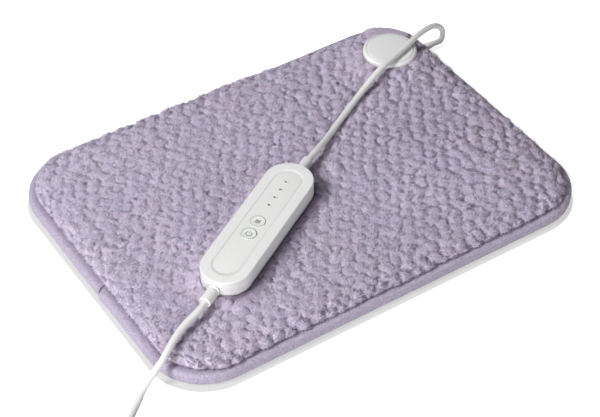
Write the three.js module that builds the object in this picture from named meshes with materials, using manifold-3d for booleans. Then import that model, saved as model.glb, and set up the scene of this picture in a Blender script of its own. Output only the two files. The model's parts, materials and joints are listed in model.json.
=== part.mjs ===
// Plush heating pad with an in-line controller. A round socket is clamped through one corner of the
// pad, a short lead runs from it to the controller that lies across the pad, and the mains lead
// ends in a tied coil and a two-pin plug.
// Units are millimetres, +Z is up, and the origin is the centre of the pad's underside.

import * as THREE from 'three';
import { mergeVertices } from 'three/addons/utils/BufferGeometryUtils.js';
import Module from 'manifold-3d';

const wasm = await Module();
wasm.setup();

// Clearances
const GAP = 0.3; // between pieces that seat on each other
const SLIDE_GAP = 0.35; // round a button in its hole

// Pad, layer by layer from the floor up
const PAD_LENGTH = 400;
const PAD_WIDTH = 294;
const PAD_CORNER = 50;
const BACK_CLOTH = 1.2;
const LOWER_WADDING = 3.5;
const CARRIER_FELT = 0.6;
const WIRE_DIAMETER = 2;
const UPPER_WADDING = 2.5;
const PILE_HEIGHT = 6.7;
const WADDING_MARGIN = 16; // from the pad's edge to the edge of the wadding
const FELT_MARGIN = 18;
const CROWN_MARGIN = 38; // the plush is level inside this

// Binding tape folded round the pad's edge
const BINDING_HEIGHT = 11;
const BINDING_DEPTH = 8;
const BINDING_TAPE = 1.2;
const BINDING_ROUND = 3;
const TUCK = 4; // from the pad's edge to the cloth edges inside the binding

// Heating wire
const WIRE_ROWS = 10;
const WIRE_SIDE_MARGIN = 22; // from the pad's shorter edges
const WIRE_FRONT_MARGIN = 27.3; // from its longer edges
const WIRE_SOCKET_MARGIN = 17.5; // round the socket's rim
const WIRE_RETURN_GAP = 12.7; // between the rows and the run back to the socket
const WIRE_RETURN_BEND = 20;
const WIRE_TAIL = 12; // of each end, inside the socket
const CUTOUT_LENGTH = 16;
const CUTOUT_WIDTH = 6;
const CUTOUT_HEIGHT = 2;
const SENSOR_LENGTH = 7;
const SENSOR_DIAMETER = 2;
const SENSOR_FROM_CUTOUT = 70;

// Socket housing in the far right corner
const SOCKET_FROM_SIDE = 42; // its centre, from the pad's right edge
const SOCKET_FROM_BACK = 53.4;
const SOCKET_RADIUS = 24.5;
const SOCKET_SIDES = 32;
const SOCKET_TOP = 27;
const SOCKET_WALL = 2.2;
const SOCKET_FLANGE = 4.5; // the base's rim reaches this far under the plush
const SOCKET_FLANGE_THICKNESS = 1.5;
const SOCKET_POST_INSET = 8.5; // from the socket's side to a post's centre
const SOCKET_POST_RADIUS = 3;
const SOCKET_POST_HEIGHT = 3; // of the lower posts above the board
const NECK_OFFSET = 5;
const NECK_WIDTH = 16.4;
const NECK_HEIGHT = 8.2;
const NECK_WALL_SIDE = 1.4;
const NECK_WALL_TOP = 0.7;
const MOUTH_INSET = 0.4; // from the pad's edge to the socket's mouth
const PIN_RADIUS = 0.8;
const PIN_SPACING = 5;
const PIN_REACH = 11; // beyond the socket's side
const WIRE_ENTRY_OFFSET = 5;
const WIRE_EXIT_OFFSET = 4;

// Controller, in its own frame: U along it, V across it, W up from its underside
const CONTROLLER_X = -65.9;
const CONTROLLER_Y = -41;
const CONTROLLER_TURN = 30.9; // degrees
const CASE_LENGTH = 151;
const CASE_WIDTH = 42;
const CASE_HEIGHT = 18;
const CASE_WALL = 2.2;
const CASE_FLOOR = 2;
const CASE_TOP_DEPTH = 8.85; // from the top down to the middle of the joint between the shells
const CASE_LIP = 1.4;
const CASE_ROOF = 3;
const TOP_ROUND = 1.6;
const BOTTOM_ROUND = 3;
const PANEL_END_INSET = 11;
const PANEL_SIDE_INSET = 9.6;
const PANEL_THICKNESS = 1.1;
const PANEL_SINK = 0.1; // the panel lies this far below the case's top
const BUTTON_RADIUS = 6.6;
const BUTTON_PROUD = 0.4;
const BUTTON_FLANGE = 0.9;
const BUTTON_FLANGE_THICKNESS = 1.1;
const BUTTON_STEM_RADIUS = 2;
const BUTTON_TRAVEL = 0.5;
const BUTTON_GAP = 0.5; // between the flanges of the two buttons
const BUTTON_STEM = 1.4; // below the flange
const LED_TO_BUTTON = 21.5;
const LED_FROM_END = 13.3; // from the panel's end to the last light
const LED_V = 0.9;
const LED_SPACING = 10.2;
const LED_COUNT = 4;
const LENS_RADIUS = 0.9;
const LENS_FLANGE = 0.9;
const BOARD_FROM_POSTS = 4.5;
const BOARD_SIDE_INSET = 6; // from the case's side
const BOARD_THICKNESS = 1.6;
const BOARD_CORNER = 9;
const STANDOFF_FROM_END = 17.5;
const STANDOFF_FROM_SIDE = 4;
const STANDOFF_RADIUS = 3;
const SWITCH_SIZE = 6;
const SWITCH_HEIGHT = 3.5;
const PLUNGER_RADIUS = 1.7;
const PLUNGER_HEIGHT = 0.8;
const RELAY_SIZE = [19, 10, 5.4];
const CAPACITOR_SIZE = [13, 6, 5.2];
const TRIAC_SIZE = [15, 9, 4.4];
const FUSE_LENGTH = 20;
const FUSE_RADIUS = 2.6;
const LED_SIZE = [2, 1.3, 0.8];
const CASE_POST_INSET = 13.5; // from the case's end
const CASE_POST_V = 9;
const POST_RADIUS = 3;
const BOSS_WALL = 0.8; // round a screw's head
const SCREW_HEAD_RADIUS = 2.5;
const SCREW_HEAD_HEIGHT = 1.8;
const SCREW_SHANK_RADIUS = 1.2;
const SCREW_SINK = 0.6;

// Strain reliefs of the controller
const RELIEF_LENGTH = 15.5;
const RELIEF_RADIUS = 4.9;
const RELIEF_COLLAR_RADIUS = 5.3;
const RELIEF_NECK_RADIUS = 4;
const RELIEF_FLANGE_RADIUS = 5.5;
const RELIEF_FLANGE_THICKNESS = 1.6;
const RELIEF_FLANGE_INSET = 5;

// Leads
const CORD_DIAMETER = 5.4;
const CORD_BORE_GAP = 0.3;
const CORE_RADIUS = 0.9;
const CORD_STEP = 6; // between the sections of a free stretch

// Plug of the pad lead
const LEAD_PLUG_RELIEF = 9;
const LEAD_PLUG_TIP_RADIUS = 3.2;

// Coil of the mains lead, laid anticlockwise
const COIL_X = -252;
const COIL_Y = -203;
const COIL_INNER_RADIUS = 22.6;
const COIL_PITCH = 5.95;
const COIL_LOOPS = 7;
const COIL_ENTRY = 120; // degrees
const COIL_EXIT = 270;
const COIL_CLIMB = 180;
const COIL_DIP = 1.2; // the climbing half turn swings in by this much
const COIL_STEPS = 24; // to a loop
const COIL_SIDES = 6;
const TIE_THICKNESS = 0.8;
const TIE_WIDTH = 9;
const TIE_ANGLE = 200;

// Two-pin mains plug
const PLUG_LENGTH = 36;
const PLUG_WIDTH = 35.3;
const PLUG_THICKNESS = 13.7;
const PLUG_GRIP_WIDTH = 17;
const PLUG_RELIEF = 20;
const PLUG_TAIL = 24; // cord between the coil and the plug's relief
const PLUG_PIN_RADIUS = 2;
const PLUG_PIN_LENGTH = 19;
const PLUG_PIN_SPACING = 18.6;
const PLUG_PIN_SEAT = 4;

// Heights that follow from the layers
const lowerWaddingZ = BACK_CLOTH + GAP;
const feltZ = lowerWaddingZ + LOWER_WADDING + GAP;
const wireZ = feltZ + CARRIER_FELT + GAP + WIRE_DIAMETER / 2;
const upperWaddingZ = feltZ + CARRIER_FELT + GAP
  + Math.max(WIRE_DIAMETER, CUTOUT_HEIGHT, SENSOR_DIAMETER) + GAP;
const plushZ = upperWaddingZ + UPPER_WADDING + GAP;
const plushTop = plushZ + PILE_HEIGHT;
const hemZ = BINDING_TAPE + GAP;
const hemTop = BINDING_HEIGHT - BINDING_TAPE - GAP;
const neckZ = BINDING_TAPE + GAP + 0.1;
const neckMidZ = neckZ + NECK_HEIGHT / 2;
const cordRadius = CORD_DIAMETER / 2;

// Places that follow from the pad and the case
const socketX = PAD_LENGTH / 2 - SOCKET_FROM_SIDE;
const socketY = PAD_WIDTH / 2 - SOCKET_FROM_BACK;
const caseSplit = CASE_HEIGHT - CASE_TOP_DEPTH;
const postU = CASE_LENGTH / 2 - CASE_POST_INSET;
const panelLength = CASE_LENGTH - 2 * PANEL_END_INSET;
const panelWidth = CASE_WIDTH - 2 * PANEL_SIDE_INSET;
const bossRadius = SCREW_HEAD_RADIUS + GAP + BOSS_WALL;
const boardLength = 2 * (postU - BOARD_FROM_POSTS);
const boardWidth = CASE_WIDTH - 2 * BOARD_SIDE_INSET;
const standoffU = boardLength / 2 - STANDOFF_FROM_END;
const standoffV = boardWidth / 2 - STANDOFF_FROM_SIDE;
const lastLedU = panelLength / 2 - LED_FROM_END;
const ledUs = Array.from({ length: LED_COUNT }, (_, i) => lastLedU - (LED_COUNT - 1 - i) * LED_SPACING);
const heatButtonU = ledUs[0] - LED_TO_BUTTON;
const powerButtonU = heatButtonU - 2 * (BUTTON_RADIUS + BUTTON_FLANGE) - BUTTON_GAP;

// Materials
function plastic(color, roughness) {
  return new THREE.MeshStandardMaterial({ color, roughness, metalness: 0 });
}
function metal(color, roughness) {
  return new THREE.MeshStandardMaterial({ color, roughness, metalness: 1 });
}
const materials = {
  plush: plastic(0xbfb0c8, 0.95),
  binding: plastic(0xb9adc0, 0.9),
  backing: plastic(0xc3b9c8, 0.92),
  wadding: plastic(0xf0eeea, 1),
  felt: plastic(0xdcd8d2, 1),
  wireSheath: plastic(0xc9483a, 0.6),
  casing: plastic(0xe9eae8, 0.42),
  panel: plastic(0xe4e6e4, 0.5),
  button: plastic(0xe8eae8, 0.45),
  cord: plastic(0xe6e7e5, 0.5),
  lens: plastic(0x8d9290, 0.3),
  board: plastic(0x2f6b46, 0.6),
  component: plastic(0x2b2c2f, 0.55),
  steel: metal(0xb7babd, 0.35),
  brass: metal(0xc9a95a, 0.35),
};

// Faces and solids

// Merges shared corners, drops flat slivers and turns the faces outward.
function weld(geometry) {
  const bare = geometry.clone();
  bare.deleteAttribute('normal');
  bare.deleteAttribute('uv');
  const merged = mergeVertices(bare, 1e-4);
  const corner = merged.attributes.position.array;
  const index = merged.index.array;
  const kept = [];
  let volume = 0;
  for (let i = 0; i < index.length; i += 3) {
    const [a, b, c] = [index[i], index[i + 1], index[i + 2]];
    if (a === b || b === c || c === a) continue;
    kept.push(a, b, c);
    const [p, q, r] = [a, b, c].map((n) => new THREE.Vector3().fromArray(corner, n * 3));
    volume += p.dot(q.cross(r)) / 6;
  }
  if (volume < 0) {
    for (let i = 0; i < kept.length; i += 3) {
      [kept[i + 1], kept[i + 2]] = [kept[i + 2], kept[i + 1]];
    }
  }
  merged.setIndex(kept);
  return merged;
}

function toSolid(geometry) {
  const closed = weld(geometry);
  return new wasm.Manifold(new wasm.Mesh({
    numProp: 3,
    vertProperties: new Float32Array(closed.attributes.position.array),
    triVerts: new Uint32Array(closed.index.array),
  }));
}

function toGeometry(solid) {
  const mesh = solid.getMesh();
  const geometry = new THREE.BufferGeometry();
  geometry.setAttribute('position', new THREE.BufferAttribute(mesh.vertProperties, 3));
  geometry.setIndex(Array.from(mesh.triVerts));
  return geometry;
}

function join(first, ...others) {
  return toGeometry(others.reduce((sum, other) => sum.add(toSolid(other)), toSolid(first)));
}

function cut(body, ...tools) {
  return toGeometry(tools.reduce((rest, tool) => rest.subtract(toSolid(tool)), toSolid(body)));
}

// A closed solid through rings of points: either flat caps close its ends, or the last ring
// joins the first.
function skin(rings, endless = false) {
  const count = rings[0].length;
  const points = rings.flat();
  const index = [];
  const spans = endless ? rings.length : rings.length - 1;
  for (let j = 0; j < spans; j++) {
    const here = j * count;
    const next = ((j + 1) % rings.length) * count;
    for (let i = 0; i < count; i++) {
      const k = (i + 1) % count;
      index.push(here + i, here + k, next + k, here + i, next + k, next + i);
    }
  }
  if (!endless) {
    for (const [ring, start, turned] of [[rings[0], 0, true], [rings.at(-1), spans * count, false]]) {
      const middle = points.length;
      points.push([0, 1, 2].map((axis) => ring.reduce((sum, p) => sum + p[axis], 0) / count));
      for (let i = 0; i < count; i++) {
        const k = (i + 1) % count;
        index.push(middle, start + (turned ? k : i), start + (turned ? i : k));
      }
    }
  }
  const geometry = new THREE.BufferGeometry();
  geometry.setAttribute('position', new THREE.Float32BufferAttribute(points.flat(), 3));
  geometry.setIndex(index);
  return weld(geometry);
}

// The corners of a rounded rectangle drawn in by an inset, anticlockwise. Where its round corners
// meet with no straight between them, as on a stadium, the shared corner comes once.
function outline(length, width, corner, inset = 0, steps = 6) {
  const radius = Math.min(Math.max(corner - inset, 0.1), length / 2 - inset, width / 2 - inset);
  const x = length / 2 - inset - radius;
  const y = width / 2 - inset - radius;
  const points = [];
  [[x, y], [-x, y], [-x, -y], [x, -y]].forEach(([cx, cy], quarter) => {
    const straight = quarter % 2 === 0 ? y : x;
    for (let i = straight < 1e-6 ? 1 : 0; i <= steps; i++) {
      const angle = (quarter + i / steps) * Math.PI / 2;
      points.push([cx + radius * Math.cos(angle), cy + radius * Math.sin(angle)]);
    }
  });
  return points;
}

// A moulding: an outline carried through the steps of a profile, each an inset and a height.
function moulding(plan, profile, endless = false) {
  return skin(profile.map(([inset, z]) => plan(inset).map(([x, y]) => [x, y, z])), endless);
}

function block(x0, x1, y0, y1, z0, z1) {
  return new THREE.BoxGeometry(x1 - x0, y1 - y0, z1 - z0)
    .translate((x0 + x1) / 2, (y0 + y1) / 2, (z0 + z1) / 2);
}

// A round solid about +Z from a profile of radius and height that starts and ends on the axis.
function turned(profile, sides = 24) {
  const points = profile.map(([radius, height]) => new THREE.Vector2(radius, height));
  return weld(new THREE.LatheGeometry(points, sides).rotateX(Math.PI / 2));
}

function rod(radius, z0, z1, x = 0, y = 0, sides = 16) {
  return turned([[0, z0], [radius, z0], [radius, z1], [0, z1]], sides).translate(x, y, 0);
}

// A tube through a list of points, its section carried along without twist.
function sweep(points, radius, sides) {
  const path = points.map((p) => new THREE.Vector3(...p));
  let side = new THREE.Vector3(0, 0, 1);
  const rings = path.map((point, i) => {
    const ahead = path[Math.min(i + 1, path.length - 1)];
    const behind = path[Math.max(i - 1, 0)];
    const along = ahead.clone().sub(behind).normalize();
    side = side.clone().addScaledVector(along, -side.dot(along)).normalize();
    const across = along.clone().cross(side);
    return Array.from({ length: sides }, (_, k) => {
      const angle = 2 * Math.PI * k / sides;
      return point.clone()
        .addScaledVector(side, radius * Math.cos(angle))
        .addScaledVector(across, radius * Math.sin(angle))
        .toArray();
    });
  });
  return skin(rings);
}

// A free stretch of cord: an eight-sided section extruded along a smooth curve.
function lead(points) {
  const section = new THREE.Shape(Array.from({ length: 8 }, (_, k) => new THREE.Vector2(
    cordRadius * Math.cos(k * Math.PI / 4),
    cordRadius * Math.sin(k * Math.PI / 4),
  )));
  const extrudePath = new THREE.CatmullRomCurve3(points.map((p) => new THREE.Vector3(...p)));
  const steps = Math.max(3, Math.round(extrudePath.getLength() / CORD_STEP));
  return new THREE.ExtrudeGeometry(section, { steps, extrudePath, bevelEnabled: false });
}

function arc(cx, cy, radius, from, to, steps) {
  return Array.from({ length: steps + 1 }, (_, i) => {
    const angle = THREE.MathUtils.degToRad(from + (to - from) * i / steps);
    return [cx + radius * Math.cos(angle), cy + radius * Math.sin(angle)];
  });
}

const heatingPad = new THREE.Group();
heatingPad.name = 'heating_pad';

function place(parent, name, geometry, material) {
  const mesh = new THREE.Mesh(weld(geometry), material.clone());
  mesh.name = name;
  parent.add(mesh);
  return mesh;
}

// Pad

const padPlan = (inset) => outline(PAD_LENGTH, PAD_WIDTH, PAD_CORNER, inset);
const mouthX = PAD_LENGTH / 2 - MOUTH_INSET;
const neckY = socketY + NECK_OFFSET;
const leadPlugTip = mouthX + LEAD_PLUG_RELIEF;
const flangeRadius = SOCKET_RADIUS + SOCKET_FLANGE;
const flangeTop = plushZ - GAP - 0.1;
const flangeBottom = flangeTop - SOCKET_FLANGE_THICKNESS;

// The room that a layer leaves for the socket's neck, on its way out through the pad's edge.
function neckRoom() {
  const half = NECK_WIDTH / 2 + GAP;
  return block(
    socketX, PAD_LENGTH / 2 + 5, neckY - half, neckY + half,
    neckZ - GAP, neckZ + NECK_HEIGHT + GAP,
  );
}

// The round room that a layer leaves for the socket between two heights.
function socketRoom(radius, z0, z1) {
  return rod(radius + GAP, z0, z1, socketX, socketY, SOCKET_SIDES);
}

function backCloth() {
  const rise = BINDING_DEPTH + 1.5;
  const cloth = moulding(padPlan, [
    [WADDING_MARGIN, 0], [rise, hemZ], [TUCK, hemZ],
    [TUCK, hemZ + BACK_CLOTH], [rise, hemZ + BACK_CLOTH], [WADDING_MARGIN, BACK_CLOTH],
  ]);
  return cut(cloth, neckRoom(), socketRoom(SOCKET_RADIUS, BACK_CLOTH + 0.1, plushZ));
}

// A flat layer of the pad with the socket let through it.
function layer(margin, z0, z1, holeRadius) {
  const sheet = moulding(padPlan, [[margin, z0], [margin, z1]]);
  return cut(sheet, socketRoom(holeRadius, z0 - 1, z1 + 1), neckRoom());
}

// The plush top: pinched in the binding, its pile swells over the tape and crowns the pad.
function plushCover() {
  const lip = BINDING_DEPTH + GAP + 0.2;
  const overTape = BINDING_HEIGHT + GAP;
  const swell = plushTop - overTape;
  const cover = moulding(padPlan, [
    [WADDING_MARGIN - 0.5, plushZ], [lip + 0.6, hemZ + BACK_CLOTH + GAP],
    [TUCK, hemZ + BACK_CLOTH + GAP], [TUCK, hemTop], [lip, hemTop], [lip, overTape],
    [BINDING_DEPTH - 1.5, overTape + 0.12 * swell], [BINDING_DEPTH - 1.2, overTape + 0.42 * swell],
    [BINDING_DEPTH + 2, overTape + 0.72 * swell], [BINDING_DEPTH + 10, overTape + 0.93 * swell],
    [CROWN_MARGIN, plushTop],
  ]);
  return cut(
    cover, socketRoom(SOCKET_RADIUS, 0, plushTop + 1), socketRoom(flangeRadius, 0, flangeTop + GAP),
    neckRoom(),
  );
}

function edgeBinding() {
  const round = BINDING_ROUND;
  const arcIn = round * (1 - Math.SQRT1_2);
  const top = BINDING_HEIGHT;
  const tape = BINDING_TAPE;
  const fold = moulding(padPlan, [
    [BINDING_DEPTH, 0], [round, 0], [arcIn, arcIn], [0, round], [0, top - round],
    [arcIn, top - arcIn], [round, top], [BINDING_DEPTH, top], [BINDING_DEPTH, top - tape],
    [round, top - tape], [tape, top - round], [tape, round], [round, tape], [BINDING_DEPTH, tape],
  ], true);
  return cut(fold, neckRoom(), socketRoom(flangeRadius, flangeBottom - GAP, flangeTop + GAP));
}

// Rows of heating wire joined by half turns, with both ends led into the socket.
function heatingWire() {
  const firstRow = PAD_WIDTH / 2 - WIRE_FRONT_MARGIN;
  const pitch = 2 * firstRow / (WIRE_ROWS - 1);
  const turn = pitch / 2;
  const returnX = PAD_LENGTH / 2 - WIRE_SIDE_MARGIN;
  const left = -returnX + turn;
  const right = returnX - WIRE_RETURN_GAP - turn;
  const shortEnd = socketX - flangeRadius - WIRE_SOCKET_MARGIN - turn;
  const besideSocket = (row) => firstRow - row * pitch > socketY - flangeRadius - 5;
  const end = (row) => (besideSocket(row) ? shortEnd : right);
  const westHole = socketX - SOCKET_RADIUS;
  const entryY = socketY + WIRE_ENTRY_OFFSET;
  const points = [
    [westHole + WIRE_TAIL, entryY], [westHole + WIRE_TAIL / 2, entryY], [westHole - 2, entryY],
    [westHole - 10, entryY + 1], [shortEnd + 18, (entryY + firstRow) / 2],
    [shortEnd + 10, firstRow - 1], [shortEnd, firstRow],
  ];
  for (let row = 0; row < WIRE_ROWS - 1; row++) {
    const middle = firstRow - (row + 0.5) * pitch;
    if (row % 2 === 0) points.push(...arc(left, middle, turn, 90, 270, 6));
    else points.push(...arc(Math.min(end(row), end(row + 1)), middle, turn, 90, -90, 6));
  }
  const bend = WIRE_RETURN_BEND;
  const southHole = socketY - SOCKET_RADIUS;
  const exitX = socketX - WIRE_EXIT_OFFSET;
  points.push(
    ...arc(returnX - bend, -firstRow + bend, bend, -90, 0, 5),
    ...arc(returnX - bend / 2, southHole - bend - 4, bend / 2, 0, 90, 4),
    ...arc(exitX + bend / 3, southHole - bend / 6 - 4, bend / 3, 270, 180, 4),
    [exitX, southHole - 2], [exitX, southHole + WIRE_TAIL / 2], [exitX, southHole + WIRE_TAIL],
  );
  const onBoard = socketBoardTop + GAP + WIRE_DIAMETER / 2;
  return sweep(points.map(([x, y], i) => [
    x, y, i === 0 || i === points.length - 1 ? onBoard : wireZ,
  ]), WIRE_DIAMETER / 2, 6);
}

function thermalCutout() {
  const seat = feltZ + CARRIER_FELT + GAP;
  const plan = (inset) => outline(CUTOUT_LENGTH, CUTOUT_WIDTH, CUTOUT_WIDTH / 2, inset, 4);
  return moulding(plan, [[0, seat], [0, seat + CUTOUT_HEIGHT - 0.5], [0.5, seat + CUTOUT_HEIGHT]]);
}

function heatSensor() {
  const length = SENSOR_LENGTH;
  const radius = SENSOR_DIAMETER / 2;
  const bead = turned([
    [0, -length / 2], [radius * 0.7, -length / 2 + 0.4], [radius, -length / 2 + 1.2],
    [radius, length / 2 - 1.2], [radius * 0.7, length / 2 - 0.4], [0, length / 2],
  ], 10);
  return bead.rotateY(Math.PI / 2);
}

// Socket housing

const socketFloor = lowerWaddingZ;
const socketFloorTop = socketFloor + 1.8;
const socketBoardZ = socketFloorTop + GAP;
const socketBoardTop = socketBoardZ + 1;
const capBottom = Math.max(flangeTop, neckZ + NECK_HEIGHT) + GAP;
const capInner = SOCKET_TOP - SOCKET_WALL;
const socketPostSeat = socketBoardTop + SOCKET_POST_HEIGHT;
const socketScrewTop = capInner - 9;
const postAngles = [100, 220, 340];
const postCircle = SOCKET_RADIUS - SOCKET_POST_INSET;
const socketBoardRadius = SOCKET_RADIUS - SOCKET_WALL - 1.2;
const pinRoot = socketBoardRadius + GAP;

function onCircle(radius, degrees) {
  const angle = THREE.MathUtils.degToRad(degrees);
  return [radius * Math.cos(angle), radius * Math.sin(angle)];
}

// The round cap: slightly domed, with a fine groove inside its rounded rim and three screw posts.
function socketCap() {
  const r = SOCKET_RADIUS;
  const top = SOCKET_TOP;
  const shell = turned([
    [0, capInner], [r - SOCKET_WALL - 2, capInner], [r - SOCKET_WALL, capInner - 2],
    [r - SOCKET_WALL, capBottom], [r, capBottom], [r, top - 3.6], [r - 0.5, top - 2.2],
    [r - 1.6, top - 1.1], [r - 2.7, top - 0.75], [r - 2.9, top - 1.15], [r - 3.4, top - 1.1],
    [r - 3.6, top - 0.6], [r - 10, top - 0.25], [0, top],
  ], SOCKET_SIDES);
  const posts = postAngles.map((angle) => {
    const [x, y] = onCircle(postCircle, angle);
    return rod(SOCKET_POST_RADIUS, socketPostSeat, capInner + 0.5, x, y, 12);
  });
  const holes = postAngles.map((angle) => {
    const [x, y] = onCircle(postCircle, angle);
    return rod(SCREW_SHANK_RADIUS + GAP, socketPostSeat - 1, socketScrewTop + 0.5, x, y, 10);
  });
  return cut(join(shell, ...posts), ...holes);
}

// The lower half: a dish with a rim that clamps the cover, and a neck out to the pad's edge.
function socketBase() {
  const r = SOCKET_RADIUS;
  const mouth = mouthX - socketX;
  const half = NECK_WIDTH / 2;
  const dish = turned([
    [0, socketFloor], [r - 1, socketFloor], [r, socketFloor + 1], [r, flangeBottom],
    [flangeRadius, flangeBottom], [flangeRadius, flangeTop], [r - SOCKET_WALL, flangeTop],
    [r - SOCKET_WALL, socketFloorTop], [0, socketFloorTop],
  ], SOCKET_SIDES);
  const neck = block(
    r - SOCKET_WALL, mouth, NECK_OFFSET - half, NECK_OFFSET + half, neckZ, neckZ + NECK_HEIGHT,
  );
  const insideWall = rod(r - SOCKET_WALL, socketFloorTop, flangeTop + 1, 0, 0, SOCKET_SIDES);
  const bosses = postAngles.map((angle) => {
    const [x, y] = onCircle(postCircle, angle);
    return rod(bossRadius, socketFloorTop - 0.5, socketPostSeat - GAP, x, y, 12);
  });
  const cavity = block(
    r + 0.5, mouth + 1,
    NECK_OFFSET - half + NECK_WALL_SIDE, NECK_OFFSET + half - NECK_WALL_SIDE,
    neckZ + NECK_WALL_TOP, neckZ + NECK_HEIGHT - NECK_WALL_TOP,
  );
  const pinHoles = [-0.5, 0.5].map((side) => rod(PIN_RADIUS + GAP, r - 6, r + 3, 0, 0, 10)
    .rotateY(Math.PI / 2).translate(0, NECK_OFFSET + side * PIN_SPACING, neckMidZ));
  const wireHole = WIRE_DIAMETER / 2 + GAP;
  const westHole = rod(wireHole, -r - 3, -r + 5, 0, 0, 10)
    .rotateY(Math.PI / 2).translate(0, WIRE_ENTRY_OFFSET, wireZ);
  const southHole = rod(wireHole, r - 5, r + 3, 0, 0, 10)
    .rotateX(Math.PI / 2).translate(-WIRE_EXIT_OFFSET, 0, wireZ);
  const screwHoles = postAngles.flatMap((angle) => {
    const [x, y] = onCircle(postCircle, angle);
    return [
      rod(SCREW_SHANK_RADIUS + GAP, socketFloor - 1, socketPostSeat + 1, x, y, 10),
      rod(SCREW_HEAD_RADIUS + GAP, socketFloor - 1, socketFloor + SCREW_HEAD_HEIGHT + GAP, x, y, 10),
    ];
  });
  const body = join(cut(join(dish, neck), insideWall), ...bosses);
  return cut(body, cavity, westHole, southHole, ...pinHoles, ...screwHoles);
}

function socketBoard() {
  const disc = rod(socketBoardRadius, socketBoardZ, socketBoardTop, 0, 0, SOCKET_SIDES);
  const notches = postAngles.map((angle) => {
    const [x, y] = onCircle(postCircle, angle);
    return rod(bossRadius + GAP, socketBoardZ - 1, socketBoardTop + 1, x, y, 12);
  });
  return cut(disc, ...notches);
}

function contactPin() {
  const r = PIN_RADIUS;
  const tip = SOCKET_RADIUS + PIN_REACH;
  return turned([[0, pinRoot], [r, pinRoot], [r, tip - 1.2], [r * 0.5, tip], [0, tip]], 10)
    .rotateY(Math.PI / 2);
}

// A screw with its head down, from its head's face to its tip.
function screw(z, tip) {
  const head = SCREW_HEAD_RADIUS;
  return turned([
    [0, z + 0.9], [0.8, z + 0.9], [1, z], [head - 0.4, z], [head, z + 0.5],
    [head, z + SCREW_HEAD_HEIGHT], [SCREW_SHANK_RADIUS, z + SCREW_HEAD_HEIGHT],
    [SCREW_SHANK_RADIUS, tip - 1], [0.5, tip], [0, tip],
  ], 10);
}

// The pad lead's plug fills the neck, and only its short tapered relief stands out of the mouth.
function leadPlug() {
  const halfWidth = NECK_WIDTH / 2 - NECK_WALL_SIDE - GAP;
  const halfHeight = NECK_HEIGHT / 2 - NECK_WALL_TOP - GAP;
  const back = SOCKET_RADIUS + 0.5 + GAP;
  const front = mouthX - socketX;
  const plan = (inset) => outline(2 * halfWidth, 2 * halfHeight, 2, inset, 3);
  const nose = moulding(plan, [[0.6, back], [0, back + 0.6], [0, front - 0.4], [0.6, front]]);
  const tip = front + LEAD_PLUG_RELIEF;
  const relief = turned([
    [0, front - 2], [halfHeight, front - 2], [halfHeight, front + 1.5], [3.2, front + 2.2],
    [3.7, front + 2.9], [3.1, front + 4], [3.5, front + 4.7], [3, front + 5.8],
    [LEAD_PLUG_TIP_RADIUS, front + 6.5], [LEAD_PLUG_TIP_RADIUS - 0.2, tip], [0, tip],
  ], 16);
  const holes = [-0.5, 0.5].map((side) => rod(
    PIN_RADIUS + GAP, back - 1, SOCKET_RADIUS + PIN_REACH + 1, side * PIN_SPACING, 0, 10,
  ));
  return cut(join(nose, relief), ...holes)
    .rotateY(Math.PI / 2).rotateX(Math.PI / 2)
    .translate(socketX, neckY, neckMidZ);
}

// Controller

const casePlan = (inset) => outline(CASE_LENGTH, CASE_WIDTH, CASE_WIDTH / 2, inset, 6);
const caseTopBottom = caseSplit + GAP / 2;
const caseBaseTop = caseSplit - GAP / 2;
const roofUnder = CASE_HEIGHT - CASE_ROOF;
const panelTop = CASE_HEIGHT - PANEL_SINK;
const panelBottom = panelTop - PANEL_THICKNESS;
const flangeTopW = roofUnder - GAP;
const stemEnd = flangeTopW - BUTTON_FLANGE_THICKNESS - BUTTON_STEM;
const plungerTop = stemEnd - BUTTON_TRAVEL - 0.1;
const switchTop = plungerTop - PLUNGER_HEIGHT;
const boardTop = switchTop - SWITCH_HEIGHT - GAP;
const boardZ = boardTop - BOARD_THICKNESS;
const caseScrewTop = roofUnder - 1.4;
const buttonHole = BUTTON_RADIUS + SLIDE_GAP;
const lensHole = LENS_RADIUS + GAP;
const buttonUs = [powerButtonU, heatButtonU];
const postPlaces = [[1, 1], [-1, 1], [-1, -1], [1, -1]]
  .map(([u, v]) => [u * postU, v * CASE_POST_V]);
const endFace = CASE_LENGTH / 2;

// Round tools along U that open both end walls for the strain reliefs and clear their flanges.
function reliefRooms() {
  const inner = endFace - RELIEF_FLANGE_INSET;
  return [-1, 1].flatMap((end) => [
    rod(RELIEF_NECK_RADIUS + GAP, inner - 1, endFace + 2, 0, 0, 14),
    rod(RELIEF_FLANGE_RADIUS + GAP, inner - RELIEF_FLANGE_THICKNESS - GAP, inner + GAP, 0, 0, 14),
  ].map((tool) => tool.rotateY(end * Math.PI / 2).translate(0, 0, caseSplit)));
}

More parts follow.
